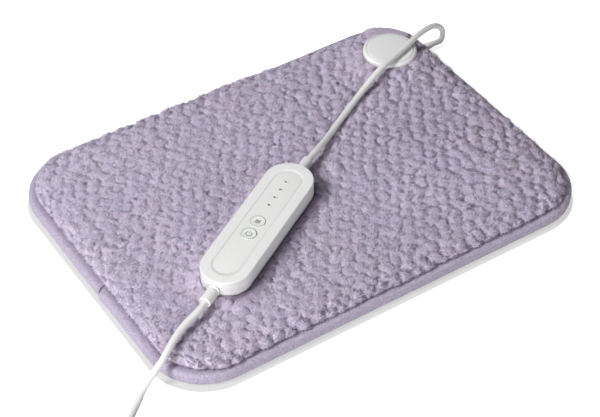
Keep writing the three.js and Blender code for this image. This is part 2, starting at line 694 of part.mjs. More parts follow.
function caseTop() {
  const h = CASE_HEIGHT;
  const round = (share) => TOP_ROUND * (1 - Math.sin(share * Math.PI / 2));
  const shell = moulding(casePlan, [
    [14, roofUnder], [CASE_WALL + 2, roofUnder], [CASE_WALL, roofUnder - 2],
    [CASE_WALL, caseTopBottom + CASE_LIP], [CASE_WALL / 2 - 0.1, caseTopBottom + CASE_LIP],
    [CASE_WALL / 2 - 0.1, caseTopBottom], [0, caseTopBottom],
    ...[0, 0.25, 0.5, 0.75, 1].map((t) => [round(1 - t), h - round(t)]), [14, h],
  ]);
  const recess = moulding(
    (inset) => outline(panelLength + 2 * GAP, panelWidth + 2 * GAP, panelWidth / 2 + GAP, inset, 6),
    [[0, panelBottom - GAP], [0, h + 1]],
  );
  const posts = postPlaces.map(([u, v]) => rod(POST_RADIUS, caseTopBottom, roofUnder + 0.5, u, v, 12));
  const pilots = postPlaces.map(([u, v]) => rod(
    SCREW_SHANK_RADIUS + GAP, caseTopBottom - 1, caseScrewTop + 0.5, u, v, 10,
  ));
  const openings = [
    ...buttonUs.map((u) => rod(buttonHole, roofUnder - 1, h + 1, u, 0, 24)),
    ...ledUs.map((u) => rod(lensHole, roofUnder - 1, h + 1, u, LED_V, 10)),
  ];
  return cut(join(shell, ...posts), recess, ...pilots, ...openings, ...reliefRooms());
}

function caseBase() {
  const round = BOTTOM_ROUND;
  const tray = moulding(casePlan, [
    [14, 0], [round, 0], [round * 0.3, round * 0.3], [0, round], [0, caseBaseTop],
    [CASE_WALL / 2 + 0.2, caseBaseTop], [CASE_WALL / 2 + 0.2, caseBaseTop + CASE_LIP],
    [CASE_WALL, caseBaseTop + CASE_LIP], [CASE_WALL, CASE_FLOOR + 1.5], [CASE_WALL + 1.5, CASE_FLOOR],
    [14, CASE_FLOOR],
  ]);
  const bosses = postPlaces.map(([u, v]) => rod(bossRadius, CASE_FLOOR - 0.5, caseBaseTop, u, v, 12));
  const standoffs = [[1, 1], [-1, 1], [-1, -1], [1, -1]].map(([u, v]) => rod(
    STANDOFF_RADIUS, CASE_FLOOR - 0.5, boardZ - GAP,
    u * standoffU, v * standoffV, 12,
  ));
  const screwHoles = postPlaces.flatMap(([u, v]) => [
    rod(SCREW_SHANK_RADIUS + GAP, -1, caseBaseTop + 1, u, v, 10),
    rod(SCREW_HEAD_RADIUS + GAP, -1, SCREW_SINK + SCREW_HEAD_HEIGHT + GAP, u, v, 10),
  ]);
  return cut(join(tray, ...bosses, ...standoffs), ...screwHoles, ...reliefRooms());
}

function controlPanel() {
  const plan = (inset) => outline(panelLength, panelWidth, panelWidth / 2, inset, 6);
  const plate = moulding(plan, [[0, panelBottom], [0, panelTop - 0.3], [0.3, panelTop]]);
  return cut(
    plate,
    ...buttonUs.map((u) => rod(buttonHole, panelBottom - 1, panelTop + 1, u, 0, 24)),
    ...ledUs.map((u) => rod(lensHole, panelBottom - 1, panelTop + 1, u, LED_V, 10)),
  );
}

// A push button: dished cap, flange that stops it under the roof, and a stem over the switch.
function pushButton() {
  const r = BUTTON_RADIUS;
  const top = CASE_HEIGHT + BUTTON_PROUD;
  const flange = r + BUTTON_FLANGE;
  return turned([
    [0, stemEnd], [BUTTON_STEM_RADIUS, stemEnd],
    [BUTTON_STEM_RADIUS, flangeTopW - BUTTON_FLANGE_THICKNESS],
    [flange, flangeTopW - BUTTON_FLANGE_THICKNESS], [flange, flangeTopW], [r, flangeTopW],
    [r, top - 0.5], [r - 0.5, top - 0.05], [r - 1, top], [r - 2.6, top - 0.25], [0, top - 0.35],
  ], 24);
}

function indicatorLens() {
  const bottom = boardTop + GAP + LED_SIZE[2] + GAP;
  return turned([
    [0, bottom], [LENS_RADIUS, bottom], [LENS_RADIUS, flangeTopW - 1],
    [LENS_RADIUS + LENS_FLANGE, flangeTopW - 1], [LENS_RADIUS + LENS_FLANGE, flangeTopW],
    [LENS_RADIUS, flangeTopW], [LENS_RADIUS, panelTop - 0.05], [0, panelTop + 0.05],
  ], 10);
}

function circuitBoard() {
  const plan = (inset) => outline(boardLength, boardWidth, BOARD_CORNER, inset, 4);
  return moulding(plan, [[0, boardZ], [0, boardTop]]);
}

function keySwitch() {
  const plan = (inset) => outline(SWITCH_SIZE, SWITCH_SIZE, 0.8, inset, 2);
  const body = moulding(plan, [[0, boardTop + GAP], [0, switchTop]]);
  return join(body, rod(PLUNGER_RADIUS, switchTop - 0.5, plungerTop, 0, 0, 10));
}

// A block-shaped component with softened upper edges, standing on the board.
function boxComponent([length, width, height]) {
  const bevel = height / 8;
  const plan = (inset) => outline(length, width, 2 * bevel, inset, 2);
  const z = boardTop + GAP;
  return moulding(plan, [[0, z], [0, z + height - bevel], [bevel, z + height]]);
}

// A glass tube between two metal caps, lying on the board.
function glassFuse() {
  const end = FUSE_LENGTH / 2;
  const cap = FUSE_RADIUS;
  const glass = cap - 0.4;
  const tube = turned([
    [0, -end], [cap, -end], [cap, -end / 2], [glass, -end / 2],
    [glass, end / 2], [cap, end / 2], [cap, end], [0, end],
  ], 12);
  return tube.rotateY(Math.PI / 2).translate(0, 0, boardTop + GAP + cap);
}

// A strain relief along +U with its flange inside the case and a bore for the cord.
function strainRelief() {
  const tip = endFace + RELIEF_LENGTH;
  const flange = endFace - RELIEF_FLANGE_INSET;
  const bore = cordRadius + CORD_BORE_GAP;
  const profile = [
    [bore, flange - RELIEF_FLANGE_THICKNESS], [RELIEF_FLANGE_RADIUS, flange - RELIEF_FLANGE_THICKNESS],
    [RELIEF_FLANGE_RADIUS, flange], [RELIEF_NECK_RADIUS, flange], [RELIEF_NECK_RADIUS, endFace + GAP],
    [RELIEF_COLLAR_RADIUS, endFace + GAP], [RELIEF_COLLAR_RADIUS, endFace + 1.4],
    [RELIEF_RADIUS - 0.4, endFace + 1.6], [RELIEF_RADIUS - 0.4, endFace + 2.4],
    [RELIEF_RADIUS, endFace + 2.6], [RELIEF_RADIUS, tip - 0.9], [RELIEF_RADIUS - 0.3, tip - 0.3],
    [RELIEF_RADIUS - 0.9, tip], [bore, tip],
  ];
  const rings = profile.map(([radius, u]) => arc(0, 0, radius, 0, 360, 14).slice(0, -1)
    .map(([v, w]) => [u, v, w + caseSplit]));
  return skin(rings, true);
}

// The stripped end of a cord along +U: its jacket fills the relief and two cores reach the board.
function cordEnd() {
  const jacketStart = postU + POST_RADIUS + 0.6;
  const jacketEnd = endFace + RELIEF_LENGTH;
  const axis = caseSplit;
  const jacket = sweep([[jacketStart, 0, axis], [jacketEnd, 0, axis]], cordRadius, 12);
  const rest = boardTop + GAP + CORE_RADIUS;
  const cores = [-1, 1].map((side) => sweep([
    [jacketStart + 1, side * 1.2, axis], [jacketStart - 2, side * 1.6, axis],
    [jacketStart - 6, side * 4, (axis + rest) / 2 + 0.2], [jacketStart - 10, side * 5, rest],
    [jacketStart - 13, side * 5, rest],
  ], CORE_RADIUS, 6));
  return join(jacket, ...cores);
}

// Leads: the points are places that each lead passes through, in the pad's frame

// The first places of a lead, straight out of the controller's relief at one end.
function beyondRelief(end) {
  return [GAP, CORD_DIAMETER].map((beyond) => {
    const [x, y] = onCircle(end * (endFace + RELIEF_LENGTH + beyond), CONTROLLER_TURN);
    return [CONTROLLER_X + x, CONTROLLER_Y + y, plushTop + GAP + caseSplit];
  });
}

const padLeadPoints = [
  ...beyondRelief(1), [28, 14.6, 26.4], [38.5, 21.3, 24.4], [50, 28.9, 22.6], [64, 37.8, 21.7],
  [80, 47.2, 21.6], [96, 56, 22.4], [110, 62.6, 24.6], [122, 67.4, 27.4], [134, 71.6, 29.7],
  [146, 75.8, 30.2], [160, 80.8, 30.2], [174, 86.2, 30.1], [185, 91, 29.6], [195, 95.2, 28.3],
  [204, 98.4, 26.6], [212.6, 100.8, 24], [219.6, 102, 19.4], [223.4, 101.6, 13.6], [222, 99.8, 8.2],
  [leadPlugTip + 2 * CORD_DIAMETER, neckY, neckMidZ + 0.1],
  [leadPlugTip + CORD_DIAMETER, neckY, neckMidZ], [leadPlugTip + GAP, neckY, neckMidZ],
];

const mainsLeadPoints = [
  ...beyondRelief(-1), [-156, -93.6, 26.8], [-164.4, -96.4, 26], [-173, -100.4, 25.2],
  [-181.4, -105.2, 24.3], [-190, -110.8, 22.9], [-198.4, -115.8, 20.2], [-206.4, -118.2, 15.6],
  [-213.6, -119.8, 10.4], [-220.6, -122.8, 6], [-228, -128.4, 3.6], [-237, -136, 3],
];

// Coil of the mains lead: it spirals in on the lower layer, climbs half a turn at the middle and
// spirals out on the upper layer, at the same steady rate.
function coilRoute() {
  const layerDegrees = (COIL_LOOPS * 360 + COIL_EXIT - COIL_ENTRY - COIL_CLIMB) / 2;
  const layerSteps = Math.round(layerDegrees / 360 * COIL_STEPS);
  const climbSteps = Math.round(COIL_CLIMB / 360 * COIL_STEPS);
  const low = TIE_THICKNESS + GAP + cordRadius;
  const outer = COIL_INNER_RADIUS + COIL_PITCH * layerDegrees / 360;
  const stations = [];
  for (let i = 0; i < layerSteps; i++) {
    const share = i / layerSteps;
    stations.push([share * layerDegrees, outer + (COIL_INNER_RADIUS - outer) * share, low]);
  }
  for (let i = 0; i < climbSteps; i++) {
    const share = i / climbSteps;
    const climb = share * share * (3 - 2 * share);
    stations.push([
      layerDegrees + share * COIL_CLIMB,
      COIL_INNER_RADIUS - COIL_DIP * Math.sin(Math.PI * share),
      low + COIL_PITCH * climb,
    ]);
  }
  for (let i = 0; i <= layerSteps; i++) {
    const share = i / layerSteps;
    stations.push([
      layerDegrees + COIL_CLIMB + share * layerDegrees,
      COIL_INNER_RADIUS + (outer - COIL_INNER_RADIUS) * share,
      low + COIL_PITCH,
    ]);
  }
  const points = stations.map(([degrees, radius, z]) => {
    const [x, y] = onCircle(radius, COIL_ENTRY + degrees);
    return [COIL_X + x, COIL_Y + y, z];
  });
  const straight = (point, degrees, sign) => {
    const [x, y] = onCircle(sign * CORD_DIAMETER, degrees + 90);
    return [point[0] + x, point[1] + y, point[2]];
  };
  return [
    straight(points[0], COIL_ENTRY, -1), ...points, straight(points.at(-1), COIL_EXIT, 1),
  ];
}

// The least clear distance between stretches of a tube that lie more than a quarter loop apart.
function leastGap(points, diameter, apart) {
  const path = points.map((p) => new THREE.Vector3(...p));
  let least = Infinity;
  for (let i = 0; i < path.length; i++) {
    for (let j = i + apart; j < path.length - 1; j++) {
      const nearest = new THREE.Line3(path[j], path[j + 1])
        .closestPointToPoint(path[i], true, new THREE.Vector3());
      least = Math.min(least, nearest.distanceTo(path[i]) - diameter);
    }
  }
  return least;
}

const coilPoints = coilRoute();
const beforeCoil = [3.5, 1.2, 0].map((diameters) => {
  const [x, y] = onCircle(diameters * CORD_DIAMETER + GAP, COIL_ENTRY - 90);
  return [coilPoints[0][0] + x, coilPoints[0][1] + y, coilPoints[0][2]];
});
console.log(`coil: least gap to itself ${leastGap(coilPoints, CORD_DIAMETER, 6).toFixed(2)} mm`);

// A strap round the whole bundle of turns, at one place on the coil.
function cordTie() {
  const low = TIE_THICKNESS + GAP;
  const layerDegrees = (COIL_LOOPS * 360 + COIL_EXIT - COIL_ENTRY - COIL_CLIMB) / 2;
  const inner = COIL_INNER_RADIUS - cordRadius - 2 * GAP;
  const outer = COIL_INNER_RADIUS + COIL_PITCH * layerDegrees / 360 + cordRadius + 2 * GAP;
  const height = COIL_PITCH + CORD_DIAMETER + 2 * GAP;
  const window = (grow) => outline(
    outer - inner + 2 * grow, height + 2 * grow, 2 + grow, 0, 3,
  ).map(([r, z]) => new THREE.Vector2(r + (inner + outer) / 2, z + low - GAP + height / 2));
  const strap = new THREE.Shape(window(TIE_THICKNESS));
  strap.holes.push(new THREE.Path(window(0)));
  return new THREE.ExtrudeGeometry(strap, { depth: TIE_WIDTH, bevelEnabled: false })
    .translate(0, 0, -TIE_WIDTH / 2)
    .rotateX(Math.PI / 2)
    .rotateZ(THREE.MathUtils.degToRad(TIE_ANGLE))
    .translate(COIL_X, COIL_Y, 0);
}

// Mains plug

const coilEnd = coilPoints.at(-1);
const plugZ = PLUG_THICKNESS / 2;
const reliefX = coilEnd[0] + PLUG_TAIL + GAP;
const plugX = reliefX + PLUG_RELIEF;

// The moulded plug along +X: a waisted grip that widens to the face, with its relief behind.
function plugBody() {
  const stations = [
    [0, PLUG_GRIP_WIDTH - 5, PLUG_THICKNESS - 4], [1.5, PLUG_GRIP_WIDTH - 1, PLUG_THICKNESS - 1.6],
    [5, PLUG_GRIP_WIDTH, PLUG_THICKNESS - 0.8], [13, PLUG_GRIP_WIDTH + 3, PLUG_THICKNESS - 0.8],
    [22, PLUG_WIDTH - 8, PLUG_THICKNESS - 0.4], [29, PLUG_WIDTH - 1.5, PLUG_THICKNESS],
    [PLUG_LENGTH - 1, PLUG_WIDTH, PLUG_THICKNESS], [PLUG_LENGTH, PLUG_WIDTH - 1, PLUG_THICKNESS - 1],
  ];
  const grip = skin(stations.map(([x, width, height]) => outline(width, height, height * 0.42, 0, 4)
    .map(([y, z]) => [plugX + x, coilEnd[1] + y, plugZ + z])));
  const root = cordRadius + 1.9;
  const tip = cordRadius + 0.7;
  const steps = 5;
  const ribs = Array.from({ length: steps }, (_, i) => {
    const share = (i + 0.5) / steps;
    const radius = tip + (root - tip) * share;
    const at = share * (PLUG_RELIEF - 1);
    return [[radius, at - 1.2], [radius, at + 1], [radius - 0.8, at + 1.2], [radius - 0.8, at + 2]];
  }).flat();
  const relief = turned([[0, 0], [tip - 0.3, 0], ...ribs, [root, PLUG_RELIEF], [root, PLUG_RELIEF + 2],
    [0, PLUG_RELIEF + 2]], 14).rotateY(Math.PI / 2).translate(reliefX, coilEnd[1], plugZ);
  const seats = [-0.5, 0.5].map((side) => rod(PLUG_PIN_RADIUS + GAP, 0, PLUG_PIN_SEAT + 5, 0, 0, 12)
    .rotateY(Math.PI / 2)
    .translate(plugX + PLUG_LENGTH - PLUG_PIN_SEAT, coilEnd[1] + side * PLUG_PIN_SPACING, plugZ));
  return cut(join(grip, relief), ...seats);
}

// A round pin with an insulated sleeve at its root, slimmer than the bare tip.
function plugPin() {
  const r = PLUG_PIN_RADIUS;
  const root = GAP;
  const tip = PLUG_PIN_SEAT + PLUG_PIN_LENGTH;
  return turned([
    [0, root], [r - 0.1, root], [r - 0.1, PLUG_PIN_SEAT + 10], [r, PLUG_PIN_SEAT + 10.2],
    [r, tip - 1.6], [r * 0.75, tip - 0.5], [r * 0.35, tip], [0, tip],
  ], 12).rotateY(Math.PI / 2);
}

const mainsTailPoints = [
  [GAP, coilEnd[2]], [CORD_DIAMETER, coilEnd[2]], [PLUG_TAIL / 2, (coilEnd[2] + plugZ) / 2],
  [PLUG_TAIL - CORD_DIAMETER, plugZ], [PLUG_TAIL, plugZ],
].map(([along, z]) => [coilEnd[0] + along, coilEnd[1], z]);

// Assembly

place(heatingPad, 'back_cloth', backCloth(), materials.backing);
place(heatingPad, 'lower_wadding', layer(
  WADDING_MARGIN, lowerWaddingZ, lowerWaddingZ + LOWER_WADDING, SOCKET_RADIUS,
), materials.wadding);
place(heatingPad, 'element_carrier', layer(
  FELT_MARGIN, feltZ, feltZ + CARRIER_FELT, SOCKET_RADIUS,
), materials.felt);
place(heatingPad, 'heating_wire', heatingWire(), materials.wireSheath);
place(heatingPad, 'thermal_cutout', thermalCutout(), materials.component);
place(heatingPad, 'heat_sensor', heatSensor(), materials.component)
  .position.set(SENSOR_FROM_CUTOUT, 0, feltZ + CARRIER_FELT + GAP + SENSOR_DIAMETER / 2);
place(heatingPad, 'upper_wadding', layer(
  WADDING_MARGIN, upperWaddingZ, upperWaddingZ + UPPER_WADDING, flangeRadius,
), materials.wadding);
place(heatingPad, 'plush_cover', plushCover(), materials.plush);
place(heatingPad, 'edge_binding', edgeBinding(), materials.binding);

const socket = new THREE.Group();
socket.position.set(socketX, socketY, 0);
heatingPad.add(socket);
place(socket, 'socket_base', socketBase(), materials.casing);
place(socket, 'socket_cap', socketCap(), materials.casing);
place(socket, 'socket_board', socketBoard(), materials.board);
[-0.5, 0.5].forEach((side, i) => {
  place(socket, `contact_pin_${i + 1}`, contactPin(), materials.brass)
    .position.set(0, NECK_OFFSET + side * PIN_SPACING, neckMidZ);
});
postAngles.forEach((angle, i) => {
  const [x, y] = onCircle(postCircle, angle);
  place(socket, `socket_screw_${i + 1}`, screw(socketFloor, socketScrewTop), materials.steel)
    .position.set(x, y, 0);
});
place(heatingPad, 'lead_plug', leadPlug(), materials.cord);

const controller = new THREE.Group();
controller.position.set(CONTROLLER_X, CONTROLLER_Y, plushTop + GAP);
controller.rotation.z = THREE.MathUtils.degToRad(CONTROLLER_TURN);
heatingPad.add(controller);
place(controller, 'case_base', caseBase(), materials.casing);
place(controller, 'case_top', caseTop(), materials.casing);
place(controller, 'control_panel', controlPanel(), materials.panel);
place(controller, 'power_button', pushButton(), materials.button).position.x = powerButtonU;
place(controller, 'heat_button', pushButton(), materials.button).position.x = heatButtonU;
place(controller, 'circuit_board', circuitBoard(), materials.board);
place(controller, 'power_switch', keySwitch(), materials.component).position.x = powerButtonU;
place(controller, 'heat_switch', keySwitch(), materials.component).position.x = heatButtonU;
ledUs.forEach((u, i) => {
  place(controller, `indicator_lens_${i + 1}`, indicatorLens(), materials.lens)
    .position.set(u, LED_V, 0);
  place(controller, `led_${i + 1}`, boxComponent(LED_SIZE), materials.component)
    .position.set(u, LED_V, 0);
});
place(controller, 'relay', boxComponent(RELAY_SIZE), materials.component)
  .position.set(1 - standoffU, boardWidth / 2 - RELAY_SIZE[1] / 2 - 1.4, 0);
place(controller, 'suppressor_capacitor', boxComponent(CAPACITOR_SIZE), materials.component)
  .position.set(-1 - standoffU, CAPACITOR_SIZE[1] / 2 + 4 - boardWidth / 2, 0);
place(controller, 'triac', boxComponent(TRIAC_SIZE), materials.component)
  .position.set(standoffU - 4, TRIAC_SIZE[1] / 2 + 2.1 - boardWidth / 2, 0);
place(controller, 'fuse', glassFuse(), materials.lens)
  .position.set(standoffU - 8, boardWidth / 2 - FUSE_RADIUS - 3.4, 0);
postPlaces.forEach(([u, v], i) => {
  place(controller, `case_screw_${i + 1}`, screw(SCREW_SINK, caseScrewTop), materials.steel)
    .position.set(u, v, 0);
});
[['pad', 0], ['mains', Math.PI]].forEach(([which, turn]) => {
  place(controller, `${which}_lead_relief`, strainRelief(), materials.cord).rotation.z = turn;
  place(controller, `${which}_lead_end`, cordEnd(), materials.cord).rotation.z = turn;
});

place(heatingPad, 'pad_lead', lead(padLeadPoints), materials.cord);
place(heatingPad, 'mains_lead', lead([...mainsLeadPoints, ...beforeCoil]), materials.cord);
place(heatingPad, 'mains_coil', sweep(coilPoints, cordRadius, COIL_SIDES), materials.cord);
place(heatingPad, 'mains_tail', lead(mainsTailPoints), materials.cord);
place(heatingPad, 'cord_tie', cordTie(), materials.component);
place(heatingPad, 'mains_plug', plugBody(), materials.cord);
[-0.5, 0.5].forEach((side, i) => {
  place(heatingPad, `plug_pin_${i + 1}`, plugPin(), materials.steel).position.set(
    plugX + PLUG_LENGTH - PLUG_PIN_SEAT, coilEnd[1] + side * PLUG_PIN_SPACING, plugZ,
  );
});

export default heatingPad;
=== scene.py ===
"""Plush heating pad with an in-line controller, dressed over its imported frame.

Shapes are worked out in millimetres and written to the meshes in metres.
"""

import itertools
import json
import math

import bpy
import numpy as np
from bpy.props import FloatProperty, FloatVectorProperty, IntProperty, PointerProperty
from mathutils import Matrix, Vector
from mathutils.geometry import tessellate_polygon


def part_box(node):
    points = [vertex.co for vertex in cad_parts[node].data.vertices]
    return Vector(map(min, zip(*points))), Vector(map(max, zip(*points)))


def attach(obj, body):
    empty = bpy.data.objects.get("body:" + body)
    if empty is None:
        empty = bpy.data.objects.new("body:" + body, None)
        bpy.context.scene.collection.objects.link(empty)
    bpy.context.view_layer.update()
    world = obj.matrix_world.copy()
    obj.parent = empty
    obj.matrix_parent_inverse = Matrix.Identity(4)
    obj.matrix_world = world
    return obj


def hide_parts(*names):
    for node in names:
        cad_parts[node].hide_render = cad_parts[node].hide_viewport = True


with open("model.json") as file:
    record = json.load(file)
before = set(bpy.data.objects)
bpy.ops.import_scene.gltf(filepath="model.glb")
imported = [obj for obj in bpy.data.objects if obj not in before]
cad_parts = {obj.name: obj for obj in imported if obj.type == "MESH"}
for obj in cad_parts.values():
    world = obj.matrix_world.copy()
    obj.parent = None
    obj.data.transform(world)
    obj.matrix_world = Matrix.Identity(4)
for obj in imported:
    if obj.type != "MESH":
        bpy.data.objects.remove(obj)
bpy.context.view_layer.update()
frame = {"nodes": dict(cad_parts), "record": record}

bl_info = {
    "name": "Plush heating pad",
    "version": (1, 0, 0),
    "blender": (4, 5, 0),
    "location": "View3D > Sidebar > Heating pad",
    "description": "Makes the plush, binding, leads, socket and controller of a heating pad",
    "category": "Object",
}

MM = 0.001
BODY = "pad_and_controller"
COIL_MIDDLE = (-252, -203)
COIL_ENTRY, COIL_LEAVE, COIL_CLIMB = 120, 270, 180  # degrees
CORD_AXIS = 9.15  # above the case's underside
RELIEF_LENGTH = 15.5
TAIL, PLUG_AXIS = 24, 6.85  # the lead's reach from the coil to the plug, and the plug's height
NECK_Y, NECK_Z = 98.6, 5.7  # axis of the socket's neck
COVER_FOOT = 11.3  # underside of the plush
LEAD_ROOM = 2.9  # from a lead's centreline down to the pile
VALLEY_HALF, VALLEY_SLOPE = 1.6, 1.8  # the valley in the pile under a lead
SOCKET_SWELL, CASE_SWELL = 4.6, 5  # how far the pile stands up beside the parts that press into it
SPIKE_SUNK = 0.7  # how deep a spike of the pile is rooted
POST_END, POST_SIDE = 13.5, 9  # the case's screw posts, from its end and from its middle line
LAP_AT = -16.5  # where the binding's two ends overlap, along the left side
LAP_SLIT = 1.3  # from there to the middle of the slit, and the slit's half width
EDGE_TURN = 0.05  # radius of the pad's corners, in metres, as the materials see it


def box_mm(node):
    """Lowest and highest corner of a node of the frame, in millimetres."""
    return [np.array(corner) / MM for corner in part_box(node)]


def box_line(node):
    """Lowest corner and middle of a node of the frame, and its reach along the first axis."""
    low, high = box_mm(node)
    return low, (low + high) / 2, high[0] - low[0]


PAD_LOW, PAD_HIGH = box_mm("edge_binding")
PAD_LENGTH, PAD_WIDTH = (PAD_HIGH - PAD_LOW)[:2]
SOCKET_LOW, SOCKET_HIGH = box_mm("socket_cap")
SOCKET_X, SOCKET_Y = ((SOCKET_LOW + SOCKET_HIGH) / 2)[:2]
SOCKET_RADIUS = (SOCKET_HIGH - SOCKET_LOW)[0] / 2
SOCKET_TOP = SOCKET_HIGH[2]


def length(name, description, default):
    """A property that holds a length, given in millimetres and kept in metres."""
    return FloatProperty(
        name=name, description=description, default=default * MM, unit="LENGTH", precision=5,
    )


def colour(name, description, red, green, blue):
    """A property that holds a colour, given as display values from 0 to 255."""
    linear = [linear_light(c / 255) for c in (red, green, blue)]
    return FloatVectorProperty(
        name=name, description=description, default=linear, subtype="COLOR", min=0, max=1,
    )


def whole_number(name, description, default, least):
    """A property that holds a whole number."""
    return IntProperty(name=name, description=description, default=default, min=least)


def power(name, place, default):
    """A property that holds a lamp's power in watts."""
    return FloatProperty(
        name=name, description="Power of the lamp " + place, default=default, min=0, unit="POWER",
    )


def linear_light(shown):
    """The light value of a display value from 0 to 1."""
    return shown / 12.92 if shown <= 0.04045 else ((shown + 0.055) / 1.055) ** 2.4


class PadSizes(bpy.types.PropertyGroup):
    """Sizes of the pad, its pile and its binding."""

    corner: length("Corner", "Radius of the pad's corners", 50)
    crown_margin: length("Crown margin", "The plush is level inside this margin", 38)
    tuft_spacing: length("Tuft spacing", "From one tuft to the next in its row", 11.5)
    tuft_depth: length("Tuft depth", "From the top of a tuft to the pit beside it", 4.4)
    lock_length: length("Lock length", "Length of the locks of fibres that cover each tuft", 3.6)
    lock_width: length("Lock width", "Width of a lock at its root", 1.0)
    lock_count: whole_number("Locks", "Number of locks", 160000, 1000)
    strand_length: length("Strand length", "Length of the loose strands between the locks", 3.2)
    strand_width: length("Strand width", "Width of a strand at its root", 0.45)
    strand_count: whole_number("Strands", "Number of loose strands", 140000, 1000)
    binding_height: length("Binding height", "Height of the rolled binding", 11)
    binding_depth: length("Binding depth", "How far the binding reaches in over the pad", 8)
    binding_tape: length("Binding tape", "Thickness of the binding tape", 1.2)


class LeadSizes(bpy.types.PropertyGroup):
    """Sizes of the leads, the coil and the plug."""

    diameter: length("Lead diameter", "Outer diameter of both leads", 5.4)
    coil_inner: length("Coil inner radius", "Radius of the innermost turn's centreline", 22.6)
    coil_pitch: length("Coil pitch", "From one turn to the next", 5.95)
    coil_loops: whole_number("Coil loops", "Whole turns in the coil", 7, 2)
    tie_width: length("Tie width", "Width of the tie round the coil", 9)
    tie_thickness: length("Tie thickness", "Thickness of the tie", 0.8)


class ControllerSizes(bpy.types.PropertyGroup):
    """Sizes and place of the controller."""

    place: FloatVectorProperty(
        name="Place", description="Middle of the controller's underside", unit="LENGTH",
        default=(-65.9 * MM, -41 * MM, 18.3 * MM),
    )
    turn: FloatProperty(
        name="Turn", description="Angle of the controller on the pad", subtype="ANGLE",
        default=math.radians(30.9),
    )
    case_length: length("Case length", "Length of the controller's case", 151)
    case_width: length("Case width", "Width of the controller's case", 42)
    case_height: length("Case height", "Height of the controller's case", 18)
    top_round: length("Top rounding", "Radius of the case's upper edge", 0.9)
    panel_length: length("Panel length", "Length of the inset panel", 129)
    panel_width: length("Panel width", "Width of the inset panel", 22.8)
    button_radius: length("Button radius", "Radius of a push button", 6.6)


class Finishes(bpy.types.PropertyGroup):
    """Colours of the pad, the plastics and the leads."""

    plush_tip: colour("Plush tips", "Colour of the pile's tips", 218, 206, 226)
    # Painted shade: the colour the pile is painted where it is low, in its pits and in the controller's
    # shadow; the binding's crease and slit take it too
    plush_painted_shade: colour("Plush roots", "Colour deep in the pile", 108, 94, 120)
    plush_cool: colour("Plush cool patches", "Bluer tips where the pile lies over", 212, 205, 226)
    binding: colour("Binding", "Colour of the binding", 180, 171, 190)
    binding_shade: colour("Binding shade", "Colour between the binding's loops", 150, 142, 162)
    backing: colour("Back cloth", "Colour of the cloth underneath", 196, 186, 206)
    casing: colour("Casing", "Colour of the controller and the socket", 220, 221, 221)
    panel: colour("Panel", "Colour of the controller's panel", 219, 221, 220)
    lead: colour("Leads", "Colour of the leads and the plug", 221, 221, 221)
    print: colour("Symbols", "Colour of the printed symbols", 78, 80, 83)
    lens: colour("Lenses", "Colour of the indicator lenses", 62, 63, 64)


class Light(bpy.types.PropertyGroup):
    """Strength of the studio light."""

    world: FloatProperty(name="Surroundings", description="Light from all round", default=0.15, min=0)
    key: power("Key lamp", "on the left", 104)
    back: power("Back lamp", "behind", 5)
    front: power("Front lamp", "in front", 17)


# Arrays of points


def hashed(cells, seed):
    """A steady random number from 0 to 1 for each whole-number place: the fraction left of a large sine."""
    weights = np.array([127.1, 311.7, 74.7])[: cells.shape[-1]]
    return np.modf(np.abs(np.sin(cells @ weights + seed * 17.31)) * 43758.5453)[0]


def noise(points, size, seed):
    """A smooth random field from -1 to 1: random numbers at the corners of square cells of a size,
    blended across each cell by the fade t * t * (3 - 2 * t)."""
    scaled = points / size
    cell = np.floor(scaled)
    share = scaled - cell
    share = share * share * (3 - 2 * share)
    total = np.zeros(points.shape[:-1])
    for corner in itertools.product((0, 1), repeat=points.shape[-1]):
        weight = np.where(corner, share, 1 - share).prod(-1)
        total += weight * hashed(cell + corner, seed)
    return 2 * total - 1


def fade(value, low, high):
    """0 below low, 1 above high, and a smooth rise between them."""
    share = np.clip((value - low) / (high - low), 0, 1)
    return share * share * (3 - 2 * share)


def unit(vectors):
    return vectors / np.maximum(np.linalg.norm(vectors, axis=-1, keepdims=True), 1e-12)


def arc(centre, radius, start, end, steps):
    """Points on a circular arc: the centre plus the radius turned from one angle to another, in degrees."""
    angle = np.radians(np.linspace(start, end, steps + 1))
    return np.stack([centre[0] + radius * np.cos(angle), centre[1] + radius * np.sin(angle)], -1)


def rounded(profile, radii, steps=5):
    """A profile with its corners rounded: each corner gives way to a parabola that leaves and meets
    its two sides at the rounding's distance from the corner."""
    profile = np.asarray(profile, float)
    out = [profile[:1]]
    share = np.linspace(0, 1, steps + 1)[:, None]
    for before, corner, after, radius in zip(profile[:-2], profile[1:-1], profile[2:], radii):
        reach = min(radius, 0.48 * np.linalg.norm(before - corner), 0.48 * np.linalg.norm(after - corner))
        if reach < 1e-6:
            out.append(corner[None])
            continue
        a = corner + unit(before - corner) * reach
        b = corner + unit(after - corner) * reach
        out.append((1 - share) ** 2 * a + 2 * share * (1 - share) * corner + share ** 2 * b)
    out.append(profile[-1:])
    return np.concatenate(out)


def spread(points, spacing):
    """Points at even distances along a line through the given ones."""
    points = np.asarray(points, float)
    walked = np.concatenate([[0], np.cumsum(np.linalg.norm(np.diff(points, axis=0), axis=-1))])
    stations = np.linspace(0, walked[-1], max(2, int(round(walked[-1] / spacing)) + 1))
    return np.stack([np.interp(stations, walked, points[:, k]) for k in range(points.shape[1])], -1)


